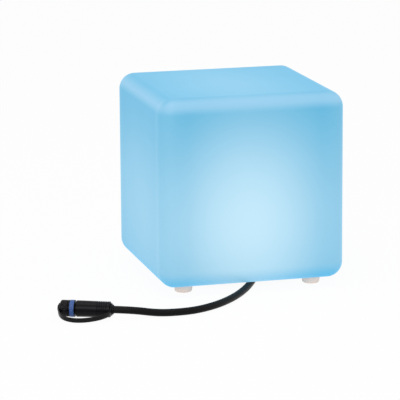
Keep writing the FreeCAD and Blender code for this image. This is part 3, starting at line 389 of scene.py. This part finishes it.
def clear_plastic():
    """Clear dome over the light chips."""
    finish = Finish("Clear dome", Transmission_Weight=0.85, IOR=1.49, Alpha=0.45)
    finish.set({"Base Color": finish.tinted(finish.noise(40, detail=2), (0.90, 0.95, 0.97), spread=0.03),
                "Roughness": finish.noise(600, detail=2) * 0.08 + 0.06})
    finish.bump(finish.noise(90, detail=2), distance=0.00003, strength=0.2)
    return finish.material


def light_chip():
    """Yellow phosphor in a pale housing."""
    finish = Finish("Light chip", Specular_IOR_Level=0.6)
    speck = finish.noise(1400, detail=2)
    finish.set({"Base Color": finish.tinted(speck, (0.84, 0.72, 0.24), spread=0.12),
                "Roughness": speck * 0.2 + 0.2})
    finish.bump(speck, distance=0.00003, strength=0.4)
    return finish.material


FINISHES = {}


def make_finishes(settings):
    """One material for each of the record's slots."""
    plug = settings.plug
    FINISHES.update({
        "diffuser": opal_glow(settings.cube, settings.glow),
        "foot_rubber": foot_rubber(),
        "black_plastic": moulded("Black plastic", plug.plastic, 0.34, gloss=0.10),
        "blue_plastic": moulded("Blue plastic", plug.band, 0.36, grain=0.0006, gloss=0.4),
        "black_rubber": moulded("Black rubber", (0.006, 0.006, 0.0065), 0.32, grain=0.0008, gloss=0.13),
        "cable_sheath": cable_sheath(settings.cable),
        "screw_steel": turned_metal("Stainless screw", (0.62, 0.61, 0.59), 0.32),
        "insert_brass": turned_metal("Brass", (0.78, 0.57, 0.25), 0.30),
        "heat_plate": turned_metal("Heat plate", (0.80, 0.80, 0.80), 0.42),
        "white_board": circuit_board("White board", (0.80, 0.81, 0.80), 0.004),
        "light_chip": light_chip(),
        "clear_dome": clear_plastic(),
        "driver_board": circuit_board("Green board", (0.02, 0.16, 0.05), 0.0025),
        "driver_part": moulded("Driver part", (0.03, 0.03, 0.035), 0.35),
        "terminal_green": moulded("Terminal", (0.04, 0.26, 0.09), 0.4),
        "wire": moulded("Wire", (0.32, 0.02, 0.02), 0.35),
    })


# ---------------------------------------------------------------- meshes

MILLIMETRE = 0.001
MERGE = 1e-7                             # vertices nearer than this are one
EDGE_ANGLE = math.radians(38)            # a sharper bend than this keeps its edge
PLUG_BASE = Vector((-0.168, -0.15475, 0.0087))      # middle of the plug's rear face
PLUG_YAW = math.radians(157)             # where the plug points, from +X
ALONG = Vector((math.cos(PLUG_YAW), math.sin(PLUG_YAW), 0))
DOWN = Vector((0, 0, -1))
PLUG_FRAME = Matrix.Translation(PLUG_BASE) @ Matrix((DOWN, ALONG.cross(DOWN), ALONG)).transposed().to_4x4()


MOST_OF_HALF = 0.48      # a rounding takes at most this part of each side of its corner
CORNER_STEPS = 5


def eased(corners):
    """An outline whose corners are rounded: each is (radius, along, rounding) in millimetres."""
    points = []
    for row, (radius, along, rounding) in enumerate(corners):
        here = Vector((radius, along))
        back = Vector(corners[row - 1][:2]) - here
        ahead = Vector(corners[(row + 1) % len(corners)][:2]) - here
        if not rounding:
            points.append(here)
            continue
        reach = min(rounding, back.length * MOST_OF_HALF, ahead.length * MOST_OF_HALF)
        start, end = here + back.normalized() * reach, here + ahead.normalized() * reach
        for step in range(CORNER_STEPS + 1):
            part = step / CORNER_STEPS
            points.append(start * (1 - part) ** 2 + here * 2 * part * (1 - part) + end * part ** 2)
    return [point * MILLIMETRE for point in points]


def turned(corners, segments=96):
    """A closed mesh turned about its own Z axis from an outline."""
    form = bmesh.new()
    rings = []
    for point in eased(corners):
        if point.x < MERGE:
            rings.append([form.verts.new((0, 0, point.y))] * segments)
            continue
        ring = []
        for step in range(segments):
            angle = 2 * math.pi * step / segments
            ring.append(form.verts.new((point.x * math.cos(angle), point.x * math.sin(angle), point.y)))
        rings.append(ring)
    for first, second in zip(rings, rings[1:] + rings[:1]):
        for step in range(segments):
            after = (step + 1) % segments
            corners_of_face = dict.fromkeys((first[step], first[after], second[after], second[step]))
            if len(corners_of_face) > 2:
                form.faces.new(list(corners_of_face))
    return closed_mesh(form)


def closed_mesh(form):
    """The plain mesh of a bmesh, with its faces outwards."""
    bmesh.ops.remove_doubles(form, verts=form.verts, dist=MERGE)
    bmesh.ops.recalc_face_normals(form, faces=form.faces)
    mesh = bpy.data.meshes.new("Form")
    form.to_mesh(mesh)
    form.free()
    return mesh


def swept(points, section, normal):
    """A bar along points that lie in one plane: the section's (across, thick) turn with the path."""
    form = bmesh.new()
    rings = []
    for row, point in enumerate(points):
        way = (points[min(row + 1, len(points) - 1)] - points[max(row - 1, 0)]).normalized()
        up = way.cross(normal).normalized()
        rings.append([form.verts.new(point + normal * across + up * thick) for across, thick in section])
    for first, second in zip(rings, rings[1:]):
        for step in range(len(section)):
            after = (step + 1) % len(section)
            form.faces.new((first[step], first[after], second[after], second[step]))
    form.faces.new(rings[0])
    form.faces.new(rings[-1])
    return closed_mesh(form)


def stand_in(name, mesh):
    """An object for a mesh, in the scene."""
    item = bpy.data.objects.new(name, mesh)
    bpy.context.scene.collection.objects.link(item)
    return item


def flattened(item):
    """Turn an object and its modifiers into one plain mesh."""
    seen = item.evaluated_get(bpy.context.evaluated_depsgraph_get())
    mesh = bpy.data.meshes.new_from_object(seen)
    item.modifiers.clear()
    item.data = mesh
    return item


def with_nodes(item, group, **inputs):
    """Run an object through a geometry node group, with its inputs set by name, and keep the mesh."""
    modifier = item.modifiers.new(group.name, "NODES")
    modifier.node_group = group
    for entry in group.interface.items_tree:
        name = entry.name.lower().replace(" ", "_")
        if name in inputs:
            modifier[entry.identifier] = inputs[name]
    return flattened(item)


def united(base, *others):
    """One closed mesh of several objects."""
    for other in others:
        join = base.modifiers.new("Join", "BOOLEAN")
        join.operation, join.solver, join.object = "UNION", "EXACT", other
    flattened(base)
    for other in others:
        bpy.data.objects.remove(other)
    return base


def settle(item, slot, nodes, body="lamp", frame_matrix=None):
    """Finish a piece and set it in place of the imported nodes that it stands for."""
    if frame_matrix:
        item.data.transform(frame_matrix)
    item.data.shade_smooth()
    item.data.set_sharp_from_angle(angle=EDGE_ANGLE)
    even = item.modifiers.new("Even shading", "WEIGHTED_NORMAL")
    even.keep_sharp = True
    flattened(item)
    item.data.materials.clear()
    item.data.materials.append(FINISHES[slot])
    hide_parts(*nodes)
    if body:
        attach(item, body)
    return item


# ---------------------------------------------------------------- geometry node groups

FLAT_PART = 0.5      # part of the evenly cut cube that becomes its flat faces
CUTS = 41            # vertices along each side of that cube


def new_group(name, inputs):
    """An empty geometry node group with named inputs, its tree and what comes in."""
    group = bpy.data.node_groups.new(name, "GeometryNodeTree")
    group.interface.new_socket("Geometry", in_out="INPUT", socket_type="NodeSocketGeometry")
    for label, kind in inputs.items():
        group.interface.new_socket(label, in_out="INPUT", socket_type=f"NodeSocket{kind}")
    group.interface.new_socket("Geometry", in_out="OUTPUT", socket_type="NodeSocketGeometry")
    tree = Tree(group)
    entry = tree.node("NodeGroupInput")
    return group, tree, entry


def close_group(tree, shape):
    """End a group: real geometry, through a Set Material node that is given no material."""
    whole = tree.node("GeometryNodeRealizeInstances", None, [shape])
    whole = tree.node("GeometryNodeSetMaterial", None, {"Geometry": whole})
    tree.node("NodeGroupOutput", None, [whole])


def cylinder(tree, radius, bottom, top, sides=128):
    form = tree.node("GeometryNodeMeshCylinder", None, {
        "Vertices": sides, "Radius": radius, "Depth": top - bottom})
    return tree.node("GeometryNodeTransform", None, {
        "Geometry": form, "Translation": tree.joined(0, 0, (top + bottom) / 2)})


def boolean(tree, operation, first, others):
    return tree.node("GeometryNodeMeshBoolean", {"operation": operation, "solver": "EXACT"},
                     {"Mesh 1": first, "Mesh 2": others} if operation == "DIFFERENCE"
                     else {"Mesh 2": [first, *others]})


def rounded_cube(tree, side, rounding, middle):
    """A cube with all its edges rounded: an evenly cut one, its outer part bent round."""
    cube = tree.node("GeometryNodeMeshCube", None, {
        "Size": (2, 2, 2), "Vertices X": CUTS, "Vertices Y": CUTS, "Vertices Z": CUTS})
    core, bulge = [], []
    for part in tree.split(tree.node("GeometryNodeInputPosition")):
        sign, reach = part.math("SIGN"), part.math("ABSOLUTE")
        core.append(sign * (reach / FLAT_PART).within() * (side / 2 - rounding))
        turn = (reach - FLAT_PART).math("MAXIMUM", 0) * (math.pi / 4 / (1 - FLAT_PART))
        bulge.append(sign * turn.math("TANGENT"))
    outwards = tree.scaled(tree.vectors("NORMALIZE", tree.joined(*bulge)), rounding)
    place = tree.vectors("ADD", tree.vectors("ADD", tree.joined(*core), outwards), middle)
    return tree.node("GeometryNodeSetPosition", None, {"Geometry": cube, "Position": place})


def shell_group():
    """The moulded cube: a hollow rounded cube, open below, with a recessed seat for the cover."""
    group, tree, side = new_group("Moulded cube", {
        "Side": "Float", "Rounding": "Float", "Wall": "Float", "Underside": "Float",
        "Opening": "Float", "Seat": "Float", "Seat depth": "Float"})
    side, rounding, wall, bottom, opening, seat, depth = [
        side.beside(name) for name in ("Side", "Rounding", "Wall", "Underside", "Opening", "Seat",
                                       "Seat depth")]
    middle = tree.joined(0, 0, bottom + side / 2)
    outside = rounded_cube(tree, side, rounding, middle)
    inside = rounded_cube(tree, side - wall * 2, rounding - wall, middle)
    walls = boolean(tree, "DIFFERENCE", outside, [inside])
    ledge = cylinder(tree, seat + wall, bottom + wall / 2, bottom + depth + wall)
    walls = boolean(tree, "UNION", walls, [ledge])
    recess = cylinder(tree, seat, bottom - wall, bottom + depth)
    hole = cylinder(tree, opening, bottom - wall, bottom + depth + wall * 2)
    walls = boolean(tree, "DIFFERENCE", walls, [boolean(tree, "UNION", recess, [hole])])
    close_group(tree, walls)
    return group


def ring_group():
    """Copies of the piece in a ring round the upright axis."""
    group, tree, start = new_group("Ring of copies", {
        "Count": "Int", "Radius": "Float", "First angle": "Float"})
    ring = tree.node("GeometryNodeMeshCircle", None, {
        "Vertices": start.beside("Count"), "Radius": start.beside("Radius")})
    turn = tree.node("ShaderNodeMath", {"operation": "MULTIPLY"},
                     [tree.node("GeometryNodeInputIndex"), 2 * math.pi / start.beside("Count")])
    copies = tree.node("GeometryNodeInstanceOnPoints", None, {
        "Points": ring, "Instance": start, "Rotation": tree.joined(0, 0, turn)})
    placed = tree.node("GeometryNodeTransform", None, {
        "Geometry": copies, "Rotation": tree.joined(0, 0, start.beside("First angle"))})
    close_group(tree, placed)
    return group


def rib_group():
    """Grooves that run along a turned piece, evenly round it, between two places along its axis."""
    group, tree, shape = new_group("Grooves round", {
        "Count": "Int", "Depth": "Float", "Start": "Float", "End": "Float", "Run out": "Float",
        "Inside": "Float", "Sharpness": "Float"})
    x, y, z = tree.split(tree.node("GeometryNodeInputPosition"))
    radius = (x * x + y * y).math("SQRT")
    wave = tree.maths("COSINE", y.math("ARCTAN2", x) * shape.beside("Count")) * 0.5 + 0.5
    start, end, run = shape.beside("Start"), shape.beside("End"), shape.beside("Run out")
    window = z.ramp(start, start + run) * (1 - z.ramp(end - run, end))
    outer = radius.math("GREATER_THAN", shape.beside("Inside"))
    pull = (wave ** shape.beside("Sharpness")) * window * outer * shape.beside("Depth") / radius
    place = tree.joined(x - x * pull, y - y * pull, z)
    moved = tree.node("GeometryNodeSetPosition", None, {"Geometry": shape, "Position": place})
    close_group(tree, moved)
    return group


# ---------------------------------------------------------------- operators

class CUBELIGHT_OT_cube(Operator):
    """Make the moulded cube"""
    bl_idname = "cubelight.cube"
    bl_label = "Cube"
    bl_options = {"REGISTER", "UNDO"}

    def execute(self, context):
        cube = context.scene.cube_light.cube
        shell = stand_in("Cube_shell", bpy.data.meshes.new("Cube_shell"))
        with_nodes(shell, shell_group(), side=cube.side, rounding=cube.rounding, wall=cube.wall,
                   underside=cube.underside, opening=cube.opening, seat=cube.seat,
                   seat_depth=cube.seat_depth)
        settle(shell, "diffuser", ["diffuser_shell"])
        return {"FINISHED"}


# a foot's screw hole, the recess for the screw's head, and the floor of that recess, in millimetres
FOOT_HOLE, FOOT_RECESS, FOOT_FLOOR = 2.25, 4.4, 3.6


class CUBELIGHT_OT_feet(Operator):
    """Make the four soft feet"""
    bl_idname = "cubelight.feet"
    bl_label = "Feet"
    bl_options = {"REGISTER", "UNDO"}

    def execute(self, context):
        cube = context.scene.cube_light.cube
        top, tip, height = [size / MILLIMETRE for size in (cube.foot_top, cube.foot_tip, cube.underside)]
        hole, recess, floor = FOOT_HOLE, FOOT_RECESS, FOOT_FLOOR
        outline = [(hole, floor, 0), (recess, floor, 0.2), (recess, 0, 0.3), (tip, 0, 2.4),
                   (top, height, 0.15), (hole, height, 0)]
        feet = stand_in("Feet", turned(outline, 72))
        with_nodes(feet, ring_group(), count=4, radius=cube.foot_spread * math.sqrt(2),
                   first_angle=math.radians(45))
        nodes = ["foot_front_left", "foot_front_right", "foot_rear_left", "foot_rear_right"]
        settle(feet, "foot_rubber", nodes)
        return {"FINISHED"}


# the plug's outlines are (radius, along, rounding) in millimetres from the middle of its rear face
REAR_RADIUS, FRONT_RADIUS = 8.0, 8.4
GRIP_FIRST, GRIP_PITCH, GRIP_FLOOR = 3.2, 2.3, 7.7      # grip grooves: place, step and radius at the floor
TAIL = [(0, -3.2, 0), (5.0, -3.2, 0.4), (5.0, -1.8, 0.3), (4.4, -1.8, 0.2), (4.4, 0, 0)]
# neck, grooves for the snap ring and the seal, and face
NOSE = [(5.8, 35.9, 0), (5.4, 35.9, 0), (5.4, 37.3, 0), (4.8, 37.3, 0), (4.8, 38.25, 0), (5.1, 38.25, 0),
        (5.1, 40.5, 0), (4.2, 40.5, 0), (4.2, 41.6, 0), (5.1, 41.6, 0), (5.1, 42.8, 0.3), (0, 42.8, 0)]


class CUBELIGHT_OT_plug(Operator):
    """Make the plug's body"""
    bl_idname = "cubelight.plug"
    bl_label = "Plug"
    bl_options = {"REGISTER", "UNDO"}

    def execute(self, context):
        plug = context.scene.cube_light.plug
        end = plug.body / MILLIMETRE
        grooves = []
        for row in range(plug.grip_grooves):
            groove = GRIP_FIRST + GRIP_PITCH * row
            radius = REAR_RADIUS + (FRONT_RADIUS - REAR_RADIUS) * groove / end
            grooves += [(radius, groove, 0.3), (GRIP_FLOOR, groove + 0.15, 0.15),
                        (GRIP_FLOOR, groove + 0.75, 0.15), (radius, groove + 0.9, 0.3)]
        outline = [*TAIL, (REAR_RADIUS, 0, 0.7), *grooves, (FRONT_RADIUS, end, 0.7), (5.8, end, 0.2), *NOSE]
        body = stand_in("Plug_body", turned(outline))
        settle(body, "black_plastic", ["plug_body"], frame_matrix=PLUG_FRAME)
        return {"FINISHED"}


GROOVE_DEPTH = 0.0003        # of the band's grooves and the cap's flutes
SEGMENTS_PER_GROOVE = 12


class CUBELIGHT_OT_coupling(Operator):
    """Make the coupling nut and its coloured band"""
    bl_idname = "cubelight.coupling"
    bl_label = "Coupling nut and band"
    bl_options = {"REGISTER", "UNDO"}

    def execute(self, context):
        plug = context.scene.cube_light.plug
        start, end = plug.nut_start / MILLIMETRE, plug.nut_end / MILLIMETRE
        nut = stand_in("Coupling_nut", turned([
            (5.45, start, 0.1), (8.45, start, 0.4), (8.45, 36.6, 0.1), (7.8, 36.6, 0),
            (7.8, 41.1, 0), (8.45, 41.1, 0.15), (8.45, end, 0.5), (6.9, end, 0.2), (6.9, 37.2, 0),
            (5.45, 37.2, 0.1)]))
        settle(nut, "black_plastic", ["coupling_nut"], "coupling_nut", PLUG_FRAME)
        stops = [36.95, 37.3, 37.65, 38.0, 39.7, 40.05, 40.4, 40.75]    # rings that the grooves bend
        outline = [(7.85, 36.65, 0), (8.7, 36.65, 0.2), *[(8.7, stop, 0) for stop in stops],
                   (8.7, 41.05, 0.2), (7.85, 41.05, 0)]
        band = stand_in("Grip_band", turned(outline, plug.band_ribs * SEGMENTS_PER_GROOVE))
        with_nodes(band, rib_group(), count=plug.band_ribs, depth=GROOVE_DEPTH, start=0.03685, end=0.04085,
                   run_out=0.0008, inside=0.0083, sharpness=1.6)
        settle(band, "blue_plastic", ["grip_band"], "coupling_nut", PLUG_FRAME)
        return {"FINISHED"}


class CUBELIGHT_OT_cap(Operator):
    """Make the cap"""
    bl_idname = "cubelight.cap"
    bl_label = "Cap"
    bl_options = {"REGISTER", "UNDO"}

    def execute(self, context):
        plug = context.scene.cube_light.plug
        start = plug.cap_start / MILLIMETRE
        stops = [start + step for step in (0.8, 1.2, 1.6, 2.0, 3.6, 4.0, 4.4, 4.8)]
        outline = [(5.3, start - 4.2, 0.2), (6.7, start - 4.2, 0.4), (6.7, start, 0),
                   (8.45, start, 0.5), *[(8.45, stop, 0) for stop in stops],
                   (8.45, start + 6.9, 0.8), (6.8, start + 8.1, 0.5), (2.6, start + 8.1, 0.2),
                   (2.6, start + 9.9, 0), (3.7, start + 9.9, 0.3), (3.5, start + 10.8, 0.4),
                   (0, start + 10.8, 0), (0, start + 1.4, 0), (5.3, start + 1.4, 0)]
        cap = stand_in("End_cap", turned(outline, plug.cap_flutes * SEGMENTS_PER_GROOVE))
        with_nodes(cap, rib_group(), count=plug.cap_flutes, depth=GROOVE_DEPTH,
                   start=plug.cap_start + 0.0007, end=plug.cap_start + 0.0048,
                   run_out=0.0010, inside=0.0081, sharpness=1.3)
        settle(cap, "black_plastic", ["end_cap"], "end_cap", PLUG_FRAME)
        return {"FINISHED"}


STRAP_LEAN = math.radians(11.3)      # how far the strap's plane hangs below the level
STRAP_WIDTH, STRAP_THICKNESS, STRAP_SIDES = 0.005, 0.0016, 24
RING_SEGMENTS = 64


class CUBELIGHT_OT_strap(Operator):
    """Make the strap that keeps the cap"""
    bl_idname = "cubelight.strap"
    bl_label = "Strap"
    bl_options = {"REGISTER", "UNDO"}

    def execute(self, context):
        out = (PLUG_FRAME.to_3x3() @ Vector((math.sin(STRAP_LEAN), math.cos(STRAP_LEAN), 0))).normalized()
        line = [PLUG_BASE + (out * across + ALONG * along) * MILLIMETRE for across, along in STRAP_LINE]
        path = smooth_path("Strap path", line)
        points = path_points(path)
        bpy.data.objects.remove(path)
        angles = [2 * math.pi * step / STRAP_SIDES for step in range(STRAP_SIDES)]
        section = [(STRAP_WIDTH / 2 * squared(angle, math.cos),
                    STRAP_THICKNESS / 2 * squared(angle, math.sin)) for angle in angles]
        band = stand_in("Cap_strap", swept(points, section, out.cross(ALONG).normalized()))
        rings = []
        for name, bore, rim, start, end in (("Rear_ring", 4.5, 6.3, -1.75, -0.15),
                                            ("Front_ring", 2.7, 5.2, 51.5, 53.1)):
            ring = stand_in(name, turned([(bore, start, 0.3), (rim, start, 0.6), (rim, end, 0.6),
                                          (bore, end, 0.3)], RING_SEGMENTS))
            ring.data.transform(PLUG_FRAME)
            rings.append(ring)
        united(band, *rings)
        settle(band, "black_rubber", ["cap_strap"], body=None)
        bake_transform(band)
        return {"FINISHED"}


# the strap's middle line in its own plane, in millimetres: (out from the plug's axis, along the plug)
STRAP_LINE = [(5.5, -0.95), (9.9, -0.95), (17.6, 4.4), (23.6, 13.5), (27.4, 25.0), (27.0, 36.6),
              (21.2, 46.5), (8.8, 52.3), (4.4, 52.3)]


SQUARENESS = 0.55        # 1 is an ellipse, 0 a sharp rectangle


def squared(angle, wave):
    """A rounded rectangle's share of its half width at an angle."""
    share_of = wave(angle)
    return math.copysign(abs(share_of) ** SQUARENESS, share_of)


# the cable's route from the gland's mouth to the plug
CABLE_ROUTE = [(0.022, 0.012, 0.0225), (0.022, -0.008, 0.0225), (0.0208, -0.0295, 0.0123),
               (0.0132, -0.0495, 0.0038), (0.0025, -0.073, 0.0038), (-0.0095, -0.0945, 0.0038),
               (-0.023, -0.115, 0.0038), (-0.0395, -0.1346, 0.0038), (-0.0585, -0.1514, 0.0038),
               (-0.08, -0.1634, 0.0038), (-0.1, -0.1666, 0.0038), (-0.1215, -0.1639, 0.0038),
               (-0.146644, -0.163815, 0.0087), (-0.165054, -0.156, 0.0087)]


def smooth_path(name, points, thickness=0.0):
    """One smooth open curve whose control points these are."""
    curve = bpy.data.curves.new(name, "CURVE")
    curve.dimensions = "3D"
    line = curve.splines.new("NURBS")
    line.points.add(len(points) - 1)
    for point, place in zip(line.points, points):
        point.co = (*place, 1)
    line.order_u = 3
    line.use_endpoint_u = True
    curve.resolution_u = 16
    curve.bevel_depth = thickness
    curve.bevel_resolution = 8
    curve.use_fill_caps = True
    item = bpy.data.objects.new(name, curve)
    bpy.context.scene.collection.objects.link(item)
    return item


def path_points(path):
    """Points along a curve that has no thickness."""
    seen = path.evaluated_get(bpy.context.evaluated_depsgraph_get())
    mesh = bpy.data.meshes.new_from_object(seen)
    return [vertex.co.copy() for vertex in mesh.vertices]


class CUBELIGHT_OT_cable(Operator):
    """Make the free cable, from the gland to the plug"""
    bl_idname = "cubelight.cable"
    bl_label = "Cable"
    bl_options = {"REGISTER", "UNDO"}

    def execute(self, context):
        cable = context.scene.cube_light.cable
        cord = smooth_path("Cable", CABLE_ROUTE, cable.diameter / 2)
        cord.data.materials.append(FINISHES["cable_sheath"])
        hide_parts("cable")
        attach(cord, "lamp")
        return {"FINISHED"}


class CUBELIGHT_OT_carried(Operator):
    """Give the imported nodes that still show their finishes"""
    bl_idname = "cubelight.carried"
    bl_label = "Carried-over pieces"
    bl_options = {"REGISTER", "UNDO"}

    def execute(self, context):
        slots = {part["node"]: part["material_slot"] for part in frame["record"]["subparts"]}
        for name, node in frame["nodes"].items():
            if node.hide_render:
                continue
            for place in node.material_slots:
                place.material = FINISHES[slots[name]]
        return {"FINISHED"}


class CUBELIGHT_OT_studio(Operator):
    """Make the floor, the lamps and the camera"""
    bl_idname = "cubelight.studio"
    bl_label = "Studio"
    bl_options = {"REGISTER", "UNDO"}

    def execute(self, context):
        scene, studio = context.scene, context.scene.cube_light.studio
        scene.view_settings.view_transform = "Standard"
        self.floor(studio)
        self.world(studio)
        for name, (place, size, power) in LAMPS.items():
            self.lamp(name, place, size, power)
        camera = bpy.data.objects.new("Camera", bpy.data.cameras.new("Camera"))
        scene.collection.objects.link(camera)
        camera.data.sensor_fit, camera.data.sensor_width = "HORIZONTAL", 36
        camera.data.lens = CAMERA_LENS
        camera.data.clip_start, camera.data.clip_end = 0.05, 100
        turn = Matrix((CAMERA_RIGHT, CAMERA_UP, -CAMERA_AHEAD)).transposed().to_4x4()
        camera.matrix_world = Matrix.Translation(CAMERA_PLACE) @ turn
        scene.camera = camera
        return {"FINISHED"}

    def floor(self, studio):
        form = bmesh.new()
        bmesh.ops.create_grid(form, x_segments=1, y_segments=1, size=30)
        mesh = bpy.data.meshes.new("Floor")
        form.to_mesh(mesh)
        form.free()
        floor = stand_in("Floor", mesh)
        finish = Finish("Floor", Roughness=0.9, Specular_IOR_Level=0.0)
        finish.set({"Base Color": finish.tinted(finish.noise(3), (0.86, 0.86, 0.86), spread=0.01)})
        white = finish.node("ShaderNodeEmission", None, {"Color": (1, 1, 1, 1), "Strength": 1.0})
        output = finish.tree.nodes["Material Output"]
        shown = finish.node("ShaderNodeMixShader", None, {
            0: seen_directly(finish) * studio.floor_white,
            1: Value(finish, finish.shader.outputs[0]), 2: white})
        finish.feed(output.inputs["Surface"], shown)
        mesh.materials.append(finish.material)

    def world(self, studio):
        world = bpy.data.worlds.new("Surroundings")
        world.use_nodes = True
        tree = Tree(world.node_tree)
        backdrop = world.node_tree.nodes["Background"]
        backdrop.inputs["Color"].default_value = (1, 1, 1, 1)
        seen = seen_directly(tree)
        tree.feed(backdrop.inputs["Strength"], seen + (1 - seen) * studio.surround)
        bpy.context.scene.world = world

    def lamp(self, name, place, size, power):
        lamp = bpy.data.objects.new(name, bpy.data.lights.new(name, "AREA"))
        bpy.context.scene.collection.objects.link(lamp)
        lamp.data.shape, lamp.data.size, lamp.data.energy = "DISK", size, power
        lamp.location = place
        lamp.rotation_euler = (LAMP_AIM - Vector(place)).to_track_quat("-Z", "Y").to_euler()


# each lamp's place, size and power
LAMPS = {"Top lamp": ((-0.25, -0.2, 1.5), 0.9, 5.0), "Front lamp": ((-1.3, -1.9, 1.1), 0.9, 13.0),
         "Side lamp": ((1.8, -0.9, 0.9), 1.2, 4.0)}
LAMP_AIM = Vector((0, 0, 0.08))

CAMERA_PLACE = Vector((-0.72623, -2.60613, 0.66962))
CAMERA_AHEAD = Vector((0.25128099, 0.94413062, -0.21324922))
CAMERA_RIGHT = Vector((0.96595375, -0.25862539, -0.00680114))
CAMERA_UP = Vector((0.06157283, 0.20427988, 0.97697416))
CAMERA_LENS = 231.262


def seen_directly(tree):
    """1 for what the camera sees straight, in a reflection or through glass."""
    ray = tree.node("ShaderNodeLightPath", output="Is Camera Ray")
    return (ray + ray.beside("Is Glossy Ray") + ray.beside("Is Transmission Ray")).within()


# ---------------------------------------------------------------- panel and registration

STEPS = [CUBELIGHT_OT_cube, CUBELIGHT_OT_feet, CUBELIGHT_OT_plug, CUBELIGHT_OT_coupling,
         CUBELIGHT_OT_cap, CUBELIGHT_OT_strap, CUBELIGHT_OT_cable, CUBELIGHT_OT_carried,
         CUBELIGHT_OT_studio]


class CUBELIGHT_PT_studio(Panel):
    """The steps and their sizes and colours."""
    bl_idname = "CUBELIGHT_PT_studio"
    bl_label = "Cube light"
    bl_space_type = "VIEW_3D"
    bl_region_type = "UI"
    bl_category = "Cube light"

    def draw(self, context):
        settings = context.scene.cube_light
        for name, group in SETTINGS.items():
            box = self.layout.box()
            for prop in group.__annotations__:
                box.prop(getattr(settings, name), prop)
        for step in STEPS:
            self.layout.operator(step.bl_idname)


CLASSES = [*SETTINGS.values(), CubeLightSettings, *STEPS, CUBELIGHT_PT_studio]


def register():
    for item in CLASSES:
        bpy.utils.register_class(item)
    bpy.types.Scene.cube_light = PointerProperty(type=CubeLightSettings)


def unregister():
    del bpy.types.Scene.cube_light
    for item in reversed(CLASSES):
        bpy.utils.unregister_class(item)


def main():
    register()
    make_finishes(bpy.context.scene.cube_light)
    for step in STEPS:
        name = step.bl_idname.split(".")[1]
        getattr(bpy.ops.cubelight, name)()


if __name__ == "__main__":
    main()
